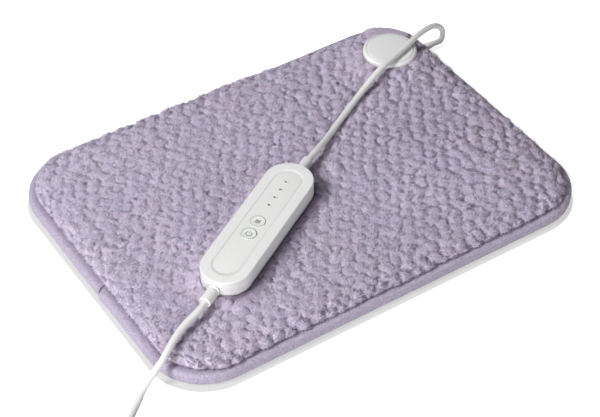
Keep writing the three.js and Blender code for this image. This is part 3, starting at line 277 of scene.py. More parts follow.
def through(points, steps=24):
    """A smooth line through places: a cubic between each two, whose slopes come from the distances
    to the places on both sides, raised to one half."""
    p = np.asarray(points, float)
    p = np.concatenate([[2 * p[0] - p[1]], p, [2 * p[-1] - p[-2]]])
    reach = np.sqrt(np.linalg.norm(np.diff(p, axis=0), axis=-1))[:, None]
    before, here, after = reach[:-2], reach[1:-1], reach[2:]
    a, b, c, d = p[:-3], p[1:-2], p[2:-1], p[3:]
    start = ((b - a) / before - (c - a) / (before + here) + (c - b) / here) * here
    end = ((c - b) / here - (d - b) / (here + after) + (d - c) / after) * here
    t = np.linspace(0, 1, steps, endpoint=False)[:, None, None]
    line = b + t * start + t ** 2 * (3 * (c - b) - 2 * start - end) + t ** 3 * (2 * (b - c) + start + end)
    return np.concatenate([line.transpose(1, 0, 2).reshape(-1, p.shape[1]), p[-2:-1]])


def ring(length_, width, corner, arc_steps=10, straight_steps=8):
    """The corners of a rounded rectangle, anticlockwise: four quarter circles with straights between."""
    corner = min(corner, length_ / 2 - 0.005, width / 2 - 0.005)
    x, y = length_ / 2 - corner, width / 2 - corner
    quarters = [
        arc(centre, corner, 90 * k, 90 * (k + 1), arc_steps)
        for k, centre in enumerate([(x, y), (-x, y), (-x, -y), (x, -y)])
    ]
    points = []
    for here, after in zip(quarters, quarters[1:] + quarters[:1]):
        share = np.linspace(0, 1, straight_steps, endpoint=False)[1:, None]
        points += [here, here[-1] + share * (after[0] - here[-1])]
    return np.concatenate(points)


def stadium(length_, width, height, arc_steps=26):
    """A ring of points on a stadium at a height: two half circles joined by straights."""
    radius, half = width / 2, length_ / 2 - width / 2
    share = np.linspace(0, 1, 21)[1:-1, None]
    right = arc((half, 0), radius, -90, 90, arc_steps)
    left = arc((-half, 0), radius, 90, 270, arc_steps)
    plan = np.concatenate([
        right, right[-1] + share * (left[0] - right[-1]), left, left[-1] + share * (right[0] - left[-1]),
    ])
    return np.column_stack([plan, np.full(len(plan), height)])


def turned(profile, sides=48):
    """Rings of a round solid about the height axis: each radius of the profile turned once round."""
    profile = np.asarray(profile, float)
    angle = np.linspace(0, 2 * np.pi, sides, endpoint=False)
    radius = profile[:, :1]
    height = np.broadcast_to(profile[:, 1:], (len(profile), sides))
    return np.stack([radius * np.cos(angle), radius * np.sin(angle), height], -1)


def about_height(points, turn):
    """Points turned about the height axis by an angle in radians."""
    x, y, z = np.moveaxis(points, -1, 0)
    c, s = math.cos(turn), math.sin(turn)
    return np.stack([x * c - y * s, x * s + y * c, z], -1)


def lying(rings, turn=0.0):
    """The rings of a standing solid laid along the first axis, then turned about the height axis."""
    return about_height(rings[..., [2, 0, 1]], turn)


def on_case(points, sizes):
    """Points of the controller's own frame, carried to its place and turn on the pad."""
    return about_height(points, sizes.turn) + np.array(sizes.place) / MM


# Meshes


def new_mesh(name, points, faces, smooth=30, values=None, normals=None):
    """An object from points in millimetres and arrays of faces, one array for each number of corners.
    Edges sharper than an angle in degrees stay sharp. Values are attributes of the points, and normals
    are the directions that their shading follows."""
    mesh = bpy.data.meshes.new(name)
    points = np.ascontiguousarray(points, np.float32).reshape(-1, 3) * np.float32(MM)
    faces = [np.atleast_2d(np.asarray(f, np.int32)) for f in faces if len(f)]
    sides = np.concatenate([np.full(len(f), f.shape[1], np.int32) for f in faces])
    corners = np.concatenate([f.ravel() for f in faces])
    mesh.vertices.add(len(points))
    mesh.vertices.foreach_set("co", points.ravel())
    mesh.loops.add(len(corners))
    mesh.loops.foreach_set("vertex_index", corners)
    mesh.polygons.add(len(sides))
    mesh.polygons.foreach_set("loop_start", np.concatenate([[0], np.cumsum(sides)[:-1]]).astype(np.int32))
    mesh.update(calc_edges=True)
    for key, value in (values or {}).items():
        kept = mesh.attributes.new(key, "FLOAT", "POINT").data
        kept.foreach_set("value", value.astype(np.float32).ravel())
    mesh.validate()
    shade(mesh, smooth)
    if normals is not None:
        mesh.normals_split_custom_set_from_vertices(normals.astype(np.float32))
    obj = bpy.data.objects.new(name, mesh)
    bpy.context.scene.collection.objects.link(obj)
    return obj


def shade(mesh, degrees):
    mesh.polygons.foreach_set("use_smooth", np.ones(len(mesh.polygons), bool))
    mesh.set_sharp_from_angle(angle=math.radians(degrees))


def skin(rings, endless=False, start=None, end=None):
    """Points and faces of a solid through rings of points. Its ends are flat faces, or fans to a point
    where one is given, and an endless one joins its last ring to its first."""
    count, around = rings.shape[:2]
    index = np.arange(count * around).reshape(count, around)
    here = index if endless else index[:-1]
    after = np.roll(index, -1, 0) if endless else index[1:]
    quads = np.stack([here, np.roll(here, -1, 1), np.roll(after, -1, 1), after], -1).reshape(-1, 4)
    points = rings.reshape(-1, 3)
    faces = [quads]
    if not endless:
        for edge, tip, turned_over in ((index[0], start, True), (index[-1], end, False)):
            order = edge[::-1] if turned_over else edge
            if tip is None:
                faces.append(order[None])
            else:
                fan = np.stack([order, np.roll(order, -1), np.full(around, len(points))], -1)
                points = np.concatenate([points, [tip]])
                faces.append(fan)
    return points, outward(points, faces)


def outward(points, faces):
    """The faces, turned round where the solid they close has a negative volume."""
    volume = sum(
        np.einsum("ij,ij->", points[f[:, 0]], np.cross(points[f[:, k]], points[f[:, k + 1]]))
        for f in faces for k in range(1, f.shape[1] - 1)
    )
    return [f[:, ::-1] for f in faces] if volume < 0 else faces


def solid(name, rings, endless=False, start=None, end=None, smooth=30, values=None):
    points, faces = skin(rings, endless, start, end)
    return new_mesh(name, points, faces, smooth, values)


def several(name, parts, smooth=30):
    """One object from several closed shapes, each given as its points and faces."""
    points, faces, shift = [], [], 0
    for p, fs in parts:
        points.append(p)
        faces += [f + shift for f in fs]
        shift += len(p)
    return new_mesh(name, np.concatenate(points), faces, smooth)


def shaped(obj, tool, operation, smooth=30):
    """obj with another solid cut from it or joined to it. The tool is used up."""
    step = obj.modifiers.new("shape", "BOOLEAN")
    step.object, step.operation, step.solver = tool, operation, "EXACT"
    seen = obj.evaluated_get(bpy.context.evaluated_depsgraph_get())
    mesh = bpy.data.meshes.new_from_object(seen)
    obj.modifiers.clear()
    obj.data = mesh
    mesh.name = obj.name
    bpy.data.objects.remove(tool)
    shade(mesh, smooth)
    return obj


def rods(places, z0, z1, radius, sides=24):
    """Closed cylinders that stand at several places, as one tool."""
    profile = turned([[radius, z0], [radius, z1]], sides)
    return several("rods", [skin(profile + [x, y, 0]) for x, y in places])


def fitted(obj, material, replaced=(), body=BODY):
    """Gives a piece its material and the body it rides on, and hides the nodes of the frame that it stands
    for.
    """
    obj.data.materials.clear()
    obj.data.materials.append(material)
    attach(obj, body)
    if replaced:
        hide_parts(*replaced)
    return obj


# Materials


class Tone:
    """A value in a material's nodes. Arithmetic on it adds Math nodes."""

    def __init__(self, finish, socket):
        self.finish, self.socket = finish, socket

    def _math(self, operation, first, second):
        return self.finish.node("ShaderNodeMath", {"operation": operation}, {0: first, 1: second})["Value"]

    def __add__(self, other):
        return self._math("ADD", self, other)

    def __sub__(self, other):
        return self._math("SUBTRACT", self, other)

    def __rsub__(self, other):
        return self._math("SUBTRACT", other, self)

    def __mul__(self, other):
        return self._math("MULTIPLY", self, other)

    def __pow__(self, other):
        return self._math("POWER", self, other)

    __radd__ = __add__
    __rmul__ = __mul__


class Made:
    """A node whose outputs are taken by name."""

    def __init__(self, finish, node):
        self.finish, self.node = finish, node

    def __getitem__(self, name):
        sockets = [s for s in self.node.outputs if s.name == name and s.enabled]
        return Tone(self.finish, sockets[0])


class Finish:
    """A procedural material. Constants go on the shader's own sockets."""

    def __init__(self, name, **constants):
        self.material = bpy.data.materials.new(name)
        self.material.use_nodes = True
        self.tree = self.material.node_tree
        self.tree.nodes.clear()
        self.shader = self.node("ShaderNodeBsdfPrincipled", inputs=constants)
        self.node("ShaderNodeOutputMaterial", inputs={"Surface": self.shader["BSDF"]})

    def node(self, kind, settings=None, inputs=None):
        """Adds a node, applies its settings and then sets or links its inputs."""
        node = self.tree.nodes.new(kind)
        for key, value in (settings or {}).items():
            if key == "stops":
                ramp = node.color_ramp.elements
                while len(ramp) < len(value):
                    ramp.new(0.5)
                for stop, (position, shown) in zip(ramp, value):
                    stop.position, stop.color = position, (*shown, 1)
            else:
                setattr(node, key, value)
        for key, value in (inputs or {}).items():
            socket = node.inputs[key]
            if isinstance(value, Tone):
                self.tree.links.new(value.socket, socket)
            elif isinstance(value, (tuple, list)) and socket.type == "RGBA":
                socket.default_value = (*value, 1)
            else:
                socket.default_value = value
        return Made(self, node)

    def set(self, name, value):
        self.tree.links.new(value.socket, self.shader.node.inputs[name])

    def place(self):
        return self.node("ShaderNodeTexCoord")["Object"]

    def stretched(self, turn, scale):
        return self.node(
            "ShaderNodeMapping", {}, {"Vector": self.place(), "Rotation": (0, 0, turn), "Scale": scale},
        )["Vector"]

    def cloud(self, scale, detail=2.0, roughness=0.5, vector=None):
        return self.node("ShaderNodeTexNoise", {}, {
            "Vector": vector or self.place(), "Scale": scale, "Detail": detail, "Roughness": roughness,
        })["Fac"]

    def cells(self, scale):
        return self.node(
            "ShaderNodeTexVoronoi", {}, {"Vector": self.place(), "Scale": scale},
        )["Distance"]

    def attribute(self, name):
        return self.node("ShaderNodeAttribute", {"attribute_name": name})["Fac"]

    def between(self, value, low, high):
        """0 to 1 as a value goes from low to high."""
        return self.node("ShaderNodeMapRange", {"interpolation_type": "SMOOTHSTEP"}, {
            "Value": value, "From Min": low, "From Max": high,
        })["Result"]

    def vector(self, operation, *values):
        node = self.node("ShaderNodeVectorMath", {"operation": operation}, dict(enumerate(values)))
        return node["Value" if operation in ("LENGTH", "DOT_PRODUCT") else "Vector"]

    def beyond(self, shift=(0.0, 0.0, 0.0)):
        """How far a place lies outside the oblong between the centres of the pad's corners."""
        half = (PAD_LENGTH / 2 * MM - EDGE_TURN, PAD_WIDTH / 2 * MM - EDGE_TURN, 1.0)
        place = self.vector("ABSOLUTE", self.vector("SUBTRACT", self.place(), shift))
        outside = self.vector("MAXIMUM", self.vector("SUBTRACT", place, half), (0.0, 0.0, 0.0))
        return self.vector("LENGTH", outside)

    def mix(self, share, first, second, blend="MIX"):
        node = self.node("ShaderNodeMix", {"data_type": "RGBA", "blend_type": blend})
        for index, value in ((0, share), (6, first), (7, second)):
            socket = node.node.inputs[index]
            if isinstance(value, Tone):
                self.tree.links.new(value.socket, socket)
            else:
                socket.default_value = (*value, 1) if index else value
        return Tone(self, node.node.outputs[2])

    def bump(self, height, strength, distance):
        self.set("Normal", self.node("ShaderNodeBump", {}, {
            "Height": height, "Strength": strength, "Distance": distance,
        })["Normal"])


def shaded(colour_, share):
    """A colour made lighter or darker by a share."""
    return tuple(min(1.0, c * share) for c in colour_)


def plush_finish(colours):
    """Pile painted dark where it is low and pale where it stands high: painted shade deep in the pile, and
    darker still in the painted shadow against the controller. In patches the pile lies one way or the
    other, with fine fibre relief and a soft sheen."""
    f = Finish("plush", Roughness=0.92, **{
        "Specular IOR Level": 0.15, "Sheen Weight": 0.28, "Sheen Roughness": 0.45,
        "Sheen Tint": (0.95, 0.9, 1.0),
    })
    patch = f.between(f.cloud(24, 3, 0.6), 0.4, 0.64)
    tip = f.mix(patch, tuple(colours.plush_tip), tuple(colours.plush_cool))
    # Painted shade: low pile is painted towards the dark shade colour
    rise = f.between(f.attribute("rise") + (f.cloud(700, 2, 0.6) - 0.5) * 0.3, 0.05, 0.8)
    # Painted contact shadow: where rise falls below zero, beside the controller, the pile is painted darker
    # still
    deep = f.between(f.attribute("rise"), -0.5, 0.05)
    root = f.mix(deep, shaded(colours.plush_painted_shade, 0.3), tuple(colours.plush_painted_shade))
    pile = f.mix(rise, root, tip)
    f.set("Base Color", f.mix(f.attribute("tint") * 0.3, pile, shaded(colours.plush_painted_shade, 1.25)))
    f.bump(f.cloud(1300, 3, 0.7), 0.5, 0.0006)
    return f.material


def binding_finish(colours):
    """Fine towelling: short loops, paler on top. Painted shade darkens it in the crease where the plush
    begins, and in the slit where the tape's ends overlap."""
    f = Finish("binding", Roughness=0.9, **{
        "Specular IOR Level": 0.15, "Sheen Weight": 0.12, "Sheen Roughness": 0.5,
        "Sheen Tint": (0.95, 0.92, 1.0),
    })
    loops = f.cells(900)
    fuzz = f.cloud(430, 4, 0.7)
    share = f.between(loops * 0.5 + fuzz, 0.45, 1.0)
    tape = f.mix(share, tuple(colours.binding), tuple(colours.binding_shade))
    # Painted shade along the binding's inner part, in the crease under the plush
    painted_crease_shade = 1 - f.between(f.beyond(), 0.0412, 0.0468)
    slant = 0.25
    slit_at = (LAP_AT + slant * PAD_LENGTH / 2 + LAP_SLIT) * MM
    # Painted shade in the slit where the tape's ends overlap, on the left side only
    aside = f.vector("DOT_PRODUCT", f.place(), (-slant, 1.0, 0.0)) - slit_at
    painted_slit_shade = 1 - f.between(aside * aside, 2e-7, 1.2e-6)
    painted_slit_shade = painted_slit_shade * (1 - f.between(f.vector("DOT_PRODUCT", f.place(), (1.0, 0.0, 0.0)), -0.19, -0.188))
    # Both painted shades darken the towelling towards the pile's shade colour
    dark = 1 - (1 - painted_crease_shade * 0.7) * (1 - painted_slit_shade)
    f.set("Base Color", f.mix(dark, tape, shaded(colours.plush_painted_shade, 0.8)))
    f.bump(fuzz * 0.6 - loops * 0.5, 0.4, 0.0004)
    return f.material


def cloth_finish(name, light, dark, scale=1400):
    """Close plain weave: two sets of threads at right angles, over and under."""
    f = Finish(name, Roughness=0.9, **{"Specular IOR Level": 0.2, "Sheen Weight": 0.2})
    threads = [
        f.node("ShaderNodeTexWave", {"bands_direction": axis}, {
            "Vector": f.place(), "Scale": scale / 6.28, "Distortion": 1.2, "Detail": 1.0,
        })["Fac"]
        for axis in ("X", "Y")
    ]
    weave = threads[0] * threads[1]
    f.set("Base Color", f.mix(f.between(weave + f.cloud(60, 3) * 0.4, 0.2, 0.9), dark, light))
    f.bump(weave, 0.5, 0.0003)
    return f.material


def fluff_finish(name, light, dark, scale=300):
    """Loose fibres pressed into a sheet."""
    f = Finish(name, Roughness=0.95, **{"Specular IOR Level": 0.1, "Sheen Weight": 0.3})
    fibre = f.cloud(scale, 5, 0.7, f.stretched(0.4, (1, 2.4, 1)))
    f.set("Base Color", f.mix(f.between(fibre, 0.3, 0.7), dark, light))
    f.bump(fibre, 0.6, 0.0008)
    return f.material


def plastic_finish(name, base, rough, coat=0.0, grain=2600, depth=0.00004):
    """Moulded plastic with a fine even grain, and small changes of gloss and tone."""
    f = Finish(name, **{"IOR": 1.5, "Coat Weight": coat, "Coat Roughness": 0.25})
    drift = f.cloud(14, 2)
    f.set("Base Color", f.mix(f.between(drift, 0.3, 0.7), shaded(base, 0.985), shaded(base, 1.01)))
    f.set("Roughness", f.between(f.cloud(90, 3, 0.6), 0.2, 0.8) * 0.08 + (rough - 0.04))
    f.bump(f.cloud(grain, 2), 0.35, depth)
    return f.material


def lead_finish(name, base, rough):
    """Soft jacket: slightly uneven along its length, with a faint wavy gloss."""
    f = Finish(name, **{"IOR": 1.48})
    drift = f.cloud(60, 2, 0.5)
    f.set("Base Color", f.mix(f.between(drift, 0.35, 0.65), shaded(base, 0.97), shaded(base, 1.0)))
    f.set("Roughness", f.between(f.cloud(240, 2), 0.3, 0.7) * 0.08 + rough)
    f.bump(f.cloud(420, 2), 0.25, 0.0001)
    return f.material


def metal_finish(name, base, rough):
    """Plated metal with fine turned lines."""
    f = Finish(name, Metallic=1.0)
    lines = f.cloud(700, 3, 0.6, f.stretched(0.0, (0.15, 1, 1)))
    f.set("Base Color", f.mix(f.between(lines, 0.3, 0.7), shaded(base, 0.86), base))
    f.set("Roughness", lines * 0.2 + (rough - 0.1))
    return f.material


def board_finish():
    """Circuit board: green lacquer with paler runs of track."""
    f = Finish("board", Roughness=0.45, **{"Coat Weight": 0.2})
    tracks = f.node("ShaderNodeTexBrick", {}, {
        "Vector": f.place(), "Scale": 160.0, "Mortar Size": 0.03, "Mortar Smooth": 0.1,
    })["Fac"]
    f.set("Base Color", f.mix(tracks, (0.02, 0.13, 0.055), (0.07, 0.26, 0.12)))
    f.bump(tracks, 0.3, 0.0001)
    return f.material


FINISHES = {}


def finish(name):
    """The material of a slot, made when it is first asked for."""
    colours = bpy.context.scene.heating_pad_finishes
    makers = {
        "plush": lambda: plush_finish(colours),
        "binding": lambda: binding_finish(colours),
        "backing": lambda: cloth_finish("backing", tuple(colours.backing), shaded(colours.backing, 0.8)),
        "wadding": lambda: fluff_finish("wadding", (0.87, 0.85, 0.82), (0.74, 0.72, 0.69)),
        "felt": lambda: fluff_finish("felt", (0.7, 0.67, 0.63), (0.56, 0.53, 0.5), 700),
        "wire_sheath": lambda: lead_finish("wire_sheath", (0.55, 0.07, 0.045), 0.5),
        "casing": lambda: plastic_finish("casing", tuple(colours.casing), 0.42),
        "panel": lambda: plastic_finish("panel", tuple(colours.panel), 0.5, grain=3400, depth=0.00003),
        "button": lambda: plastic_finish("button", tuple(colours.panel), 0.46, grain=3000, depth=0.00003),
        "cord_jacket": lambda: lead_finish("cord_jacket", tuple(colours.lead), 0.42),
        "lens": lambda: plastic_finish("lens", tuple(colours.lens), 0.2, coat=0.4),
        "board": board_finish,
        "dark_component": lambda: plastic_finish("dark_component", (0.028, 0.029, 0.032), 0.5),
        "tie": lambda: cloth_finish("tie", (0.05, 0.05, 0.055), (0.02, 0.02, 0.022), 2600),
        "fastener": lambda: metal_finish("fastener", (0.62, 0.63, 0.65), 0.32),
        "contact": lambda: metal_finish("contact", (0.75, 0.55, 0.22), 0.3),
        "symbol": lambda: plastic_finish("symbol", tuple(colours.print), 0.6),
    }
    if name not in FINISHES:
        FINISHES[name] = makers[name]()
    return FINISHES[name]


# Leads


def coil_layer(sizes):
    """The angle of one layer of the coil, in degrees."""
    return (sizes.coil_loops * 360 + COIL_LEAVE - COIL_ENTRY - COIL_CLIMB) / 2


def coil_line(sizes):
    """The coil's centreline. It spirals in on the lower layer, climbs half a turn at the middle while it
    rises by one pitch, and spirals out on the upper layer. The radius falls and grows evenly with the
    angle, and the climb dips in by the sine of its share."""
    inner, pitch, radius = sizes.coil_inner / MM, sizes.coil_pitch / MM, sizes.diameter / MM / 2
    climb, steps = COIL_CLIMB, 72
    layer = coil_layer(sizes)
    outer = inner + pitch * layer / 360
    low = sizes.tie_thickness / MM + 0.3 + radius
    count = int(layer / 360 * steps)
    share = np.linspace(0, 1, count, endpoint=False)
    rise = np.linspace(0, 1, steps // 2, endpoint=False)
    back = np.linspace(0, 1, count + 1)
    angle = np.concatenate([share * layer, layer + rise * climb, layer + climb + back * layer])
    distance = np.concatenate([
        outer + (inner - outer) * share, inner - 1.2 * np.sin(np.pi * rise), inner + (outer - inner) * back,
    ])
    height = low + pitch * np.concatenate([np.zeros(count), fade(rise, 0, 1), np.ones(count + 1)])
    turn = np.radians(COIL_ENTRY + angle)
    x, y = COIL_MIDDLE
    return np.stack([x + distance * np.cos(turn), y + distance * np.sin(turn), height], -1)


def case_end(sizes, end, beyond):
    """A place on the cord's axis outside one end of the case."""
    return on_case(np.array([end * (sizes.case_length / MM / 2 + beyond), 0, CORD_AXIS]), sizes)


PAD_LEAD = [
    (28, 14.6, 26.4), (38.5, 21.3, 24.4), (50, 28.9, 22.6), (64, 37.8, 21.7), (80, 47.2, 21.6),
    (96, 56, 22.4), (110, 62.6, 24.6), (122, 67.4, 27.4), (134, 71.6, 29.7), (146, 75.8, 30.2),
    (160, 80.8, 30.2), (174, 86.2, 30.1), (185, 91, 29.6), (195, 95.2, 28.3), (204, 98.4, 26.6),
    (212.6, 100.8, 24), (219.6, 102, 19.4), (223.4, 101.6, 13.6), (222, 99.8, 8.2),
    (219.4, 98.6, 5.8), (214, 98.6, 5.7), (208.7, 98.6, 5.7),
]
MAINS_LEAD = [
    (-156, -93.6, 26.8), (-164.4, -96.4, 26), (-173, -100.4, 25.2), (-181.4, -105.2, 24.3),
    (-190, -110.8, 22.9), (-198.4, -115.8, 20.2), (-206.4, -118.2, 15.6), (-213.6, -119.8, 10.4),
    (-220.6, -122.8, 6), (-228, -128.4, 3.6), (-237, -136, 3),
]


def lead_start(case, sizes, end):
    """A lead's first two places, straight out of its strain relief."""
    return [case_end(case, end, RELIEF_LENGTH + more) for more in (0, sizes.diameter / MM)]


def mains_line(case, sizes):
    """The mains lead's centreline: over the pad's edge, round the coil and out to the plug."""
    d, coil = sizes.diameter / MM, coil_line(sizes)
    heading = np.radians(COIL_ENTRY - 90)
    heading = np.array([np.cos(heading), np.sin(heading), 0])
    before = [coil[0] + heading * (k * d + 0.3) for k in (3.5, 1.2)]
    lead = through([*lead_start(case, sizes, -1), *MAINS_LEAD, *before, coil[0]])
    x, y, z = coil[-1]
    tail = through([
        coil[-1], (x + d, y, z), (x + 12, y, z + (PLUG_AXIS - z) / 2), (x + TAIL - d, y, PLUG_AXIS),
        (x + TAIL + d, y, PLUG_AXIS),
    ])
    return np.concatenate([lead, coil[1:-1], tail])


def lead_object(name, line, sizes):
    """A lead as a curve whose round section follows its line."""
    curve = bpy.data.curves.new(name, "CURVE")
    curve.dimensions, curve.bevel_depth = "3D", sizes.diameter / 2
    curve.bevel_resolution, curve.use_fill_caps = 5, True
    line = spread(line, 1.6) * MM
    spline = curve.splines.new("POLY")
    spline.points.add(len(line) - 1)
    spline.points.foreach_set("co", np.column_stack([line, np.ones(len(line))]).ravel())
    spline.use_smooth = True
    obj = bpy.data.objects.new(name, curve)
    bpy.context.scene.collection.objects.link(obj)
    return obj, line


def walked(line):
    return float(np.linalg.norm(np.diff(line, axis=0), axis=-1).sum())


class HEATINGPAD_OT_leads(bpy.types.Operator):
    """Make the pad lead, and the mains lead with its coil"""

    bl_idname = "heating_pad.leads"
    bl_label = "Leads"

    def execute(self, context):
        scene = context.scene
        case, sizes = scene.heating_pad_controller, scene.heating_pad_leads
        jacket = finish("cord_jacket")
        start = lead_start(case, sizes, 1)
        pad_lead, line = lead_object("pad_lead_cord", through([*start, *PAD_LEAD]), sizes)
        fitted(pad_lead, jacket, ["pad_lead"])
        mains, line = lead_object("mains_lead_cord", mains_line(case, sizes), sizes)
        fitted(mains, jacket, ["mains_lead", "mains_coil", "mains_tail"])
        return {"FINISHED"}


class HEATINGPAD_OT_plugs(bpy.types.Operator):
    """Make the mains plug, its pins, the pad lead's plug and the tie round the coil"""

    bl_idname = "heating_pad.plugs"
    bl_label = "Plugs and tie"

    def execute(self, context):
        sizes = context.scene.heating_pad_leads
        jacket = finish("cord_jacket")
        low, middle, _ = box_line("mains_plug")
        fitted(mains_plug(low[0], *middle[1:], sizes), jacket, ["mains_plug"])
        for node, name in (("plug_pin_1", "plug_pin_lower"), ("plug_pin_2", "plug_pin_upper")):
            low, middle, reach = box_line(node)
            profile = rounded([
                [0.01, 0], [1.9, 0], [1.9, 13.7], [2, 13.9], [2, reach - 1.6], [1.5, reach - 0.5],
                [0.01, reach],
            ], [0.2, 0.1, 0.1, 1, 0.8], 4)
            rings = lying(turned(profile, 28)) + [low[0], *middle[1:]]
            fitted(solid(name, rings), finish("fastener"), [node])
        fitted(lead_plug(), jacket, ["lead_plug"])
        fitted(coil_tie(sizes), finish("tie"), ["cord_tie"])
        return {"FINISHED"}


def mains_plug(x, y, z, sizes):
    """The moulded plug: a ribbed relief of round rings that grows into a waisted grip, drawn through
    rounded rectangles whose width and height change smoothly along it."""
    radius, reach = sizes.diameter / MM / 2, 20
    tip, root = radius + 0.7, radius + 1.9
    rings = [[tip - 0.5, tip - 0.5, 0, 1.0], [tip - 0.2, tip - 0.2, 0.3, 1.0]]
    for i in range(5):
        share = (i + 0.5) / 5
        wide, at = tip + (root - tip) * share, share * (reach - 1)
        rings += [[wide - less, wide - less, at + step, 1.0] for less, step in (
            (0.8, -1.5), (0.15, -1.2), (0, -0.9), (0, 0.7), (0.15, 1.0), (0.8, 1.3))]
    along = np.array([0, 1.5, 5, 13, 22, 29, 34.5, 35.6, 36])
    wide = np.array([12, 16, 17, 20, 27.3, 33.8, 35.3, 34.9, 34.1])
    high = np.array([9.7, 12.1, 12.9, 12.9, 13.3, 13.7, 13.7, 13.2, 12.5])
    fine = np.concatenate([np.linspace(0, 5, 9), np.linspace(6, 34, 22), [34.9, 35.3, 35.7, 36]])
    widths, heights = smooth_through(along, wide, fine), smooth_through(along, high, fine)
    rings += [[w / 2, h / 2, reach + a, 0.42 * 2] for a, w, h in zip(fine, widths, heights)]
    rings = [(half_wide, tall, x + at, corner * tall) for half_wide, tall, at, corner in rings]
    plug = plug_body("mains_plug_body", rings, y, z)
    seat = lying(turned([[2.2, 32], [2.2, 40]], 24)) + [x + reach, y, z]
    holes = [skin(seat + [0, side, 0]) for side in (-9.3, 9.3)]
    return shaped(plug, several("pin_seats", holes), "DIFFERENCE", 40)


def plug_body(name, rings, y, z):
    """A solid through rounded rectangles, each given as half its width, half its height, its place
    along the first axis and its corner's radius."""
    stack = []
    for half_wide, half_high, x, corner in rings:
        plan = ring(2 * half_wide, 2 * half_high, corner, 8, 4)
        stack.append(np.column_stack([np.full(len(plan), x), y + plan[:, 0], z + plan[:, 1]]))
    return solid(name, np.array(stack), smooth=40)


def smooth_through(x, y, at):
    """Values of a smooth line through points that doesn't overshoot them: a cubic with slopes from
    the neighbours, held to zero where the line turns."""
    slope = np.diff(y) / np.diff(x)
    before, after = slope[:-1], slope[1:]
    inner = np.where(before * after > 0, 2 * before * after / (before + after + 1e-12), 0)
    m = np.concatenate([[slope[0]], inner, [slope[-1]]])
    k = np.clip(np.searchsorted(x, at, side="right") - 1, 0, len(x) - 2)
    h = x[k + 1] - x[k]
    t = (at - x[k]) / h
    return (
        y[k] * (1 + 2 * t) * (1 - t) ** 2 + m[k] * h * t * (1 - t) ** 2
        + y[k + 1] * t ** 2 * (3 - 2 * t) + m[k + 1] * h * t ** 2 * (t - 1)
    )


def lead_plug():
    """The pad lead's plug: a rounded oblong nose inside the socket's neck, and a short ribbed relief
    whose rings stand out of the mouth."""
    mouth = PAD_HIGH[0] - 0.4
    back, y, z = SOCKET_X + SOCKET_RADIUS + 0.8, NECK_Y, NECK_Z
    rings = [
        [6, 2.7, back, 1.4], [6.5, 3.1, back + 0.6, 2], [6.5, 3.1, mouth - 0.5, 2], [6.2, 2.9, mouth, 2],
    ]
    rings += [[r, r, mouth + at, r] for r, at in (
        (3.1, 0.1), (3.1, 1.5), (3.2, 2.2), (3.65, 2.5), (3.7, 2.9), (3.6, 3.3), (3.1, 3.8), (3.1, 4.1),
        (3.45, 4.4), (3.5, 4.7), (3.4, 5.1), (3, 5.6), (3, 5.9), (3.2, 6.4), (3.2, 8.5), (3.0, 9),
    )]
    plug = plug_body("lead_plug_body", rings, y, z)
    bore = lying(turned([[1.1, back - 1], [1.1, SOCKET_X + SOCKET_RADIUS + 12]], 16)) + [0, y, z]
    holes = [skin(bore + [0, side, 0]) for side in (-2.5, 2.5)]
    return shaped(plug, several("contact_bores", holes), "DIFFERENCE", 40)


def coil_tie(sizes):
    """A soft strap round the bundle: a rounded oblong loop as wide as the tie."""
    low, _ = box_mm("cord_tie")
    thick, wide = sizes.tie_thickness / MM, sizes.tie_width / MM
    inner, pitch, radius = sizes.coil_inner / MM, sizes.coil_pitch / MM, sizes.diameter / MM / 2
    near, far = inner - radius - 0.6, inner + pitch * coil_layer(sizes) / 360 + radius + 0.6
    tall = pitch + 2 * radius + 0.6
    loop = ring(far - near + 2 * thick, tall + 2 * thick, 2 + thick, 8, 24)
    away = unit(loop - np.array([np.clip(loop[:, 0], -(far - near) / 2 + 2, (far - near) / 2 - 2),
                                 np.clip(loop[:, 1], -tall / 2 + 2, tall / 2 - 2)]).T)
    section = [(0, -wide / 2 + 0.25), (0, wide / 2 - 0.25), (-0.2, wide / 2), (-thick + 0.05, wide / 2),
               (-thick + 0.02, -wide / 2), (-0.2, -wide / 2)]
    rings = np.array([np.column_stack([
        loop[:, 0] + away[:, 0] * lift, np.full(len(loop), across), loop[:, 1] + away[:, 1] * lift,
    ]) for lift, across in section])
    rings += [(near + far) / 2, 0, low[2] + thick + tall / 2]
    rings = about_height(rings, math.radians(200)) + [*COIL_MIDDLE, 0]
    return solid("coil_tie", rings, endless=True, smooth=50)


# Pad


def pad_outline(sizes, spacing):
    """Places round the pad's edge at even distances, with the direction straight out from each."""
    half_x, half_y, corner = PAD_LENGTH / 2, PAD_WIDTH / 2, sizes.corner / MM
    straight_x, straight_y = 2 * (half_x - corner), 2 * (half_y - corner)
    bend = corner * math.pi / 2
    around = 2 * (straight_x + straight_y) + 4 * bend
    walked_ = np.linspace(0, around, int(round(around / spacing)), endpoint=False)
    starts = np.cumsum([0, straight_y, bend, straight_x, bend, straight_y, bend, straight_x])
    side = np.searchsorted(starts, walked_, side="right") - 1
    along = walked_ - starts[side]
    start = np.radians(90.0 * (side // 2))
    angle = start + np.where(side % 2 == 1, along / corner, 0)
    out = np.stack([np.cos(angle), np.sin(angle)], -1)
    tangent = np.stack([-out[:, 1], out[:, 0]], -1)
    x, y = half_x - corner, half_y - corner
    corners = np.array([(x, -y), (x, y), (x, y), (-x, y), (-x, y), (-x, -y), (-x, -y), (x, -y)])[side]
    centre = corners + np.where((side % 2 == 0)[:, None], tangent * along[:, None], 0)
    return centre + out * corner, out, walked_


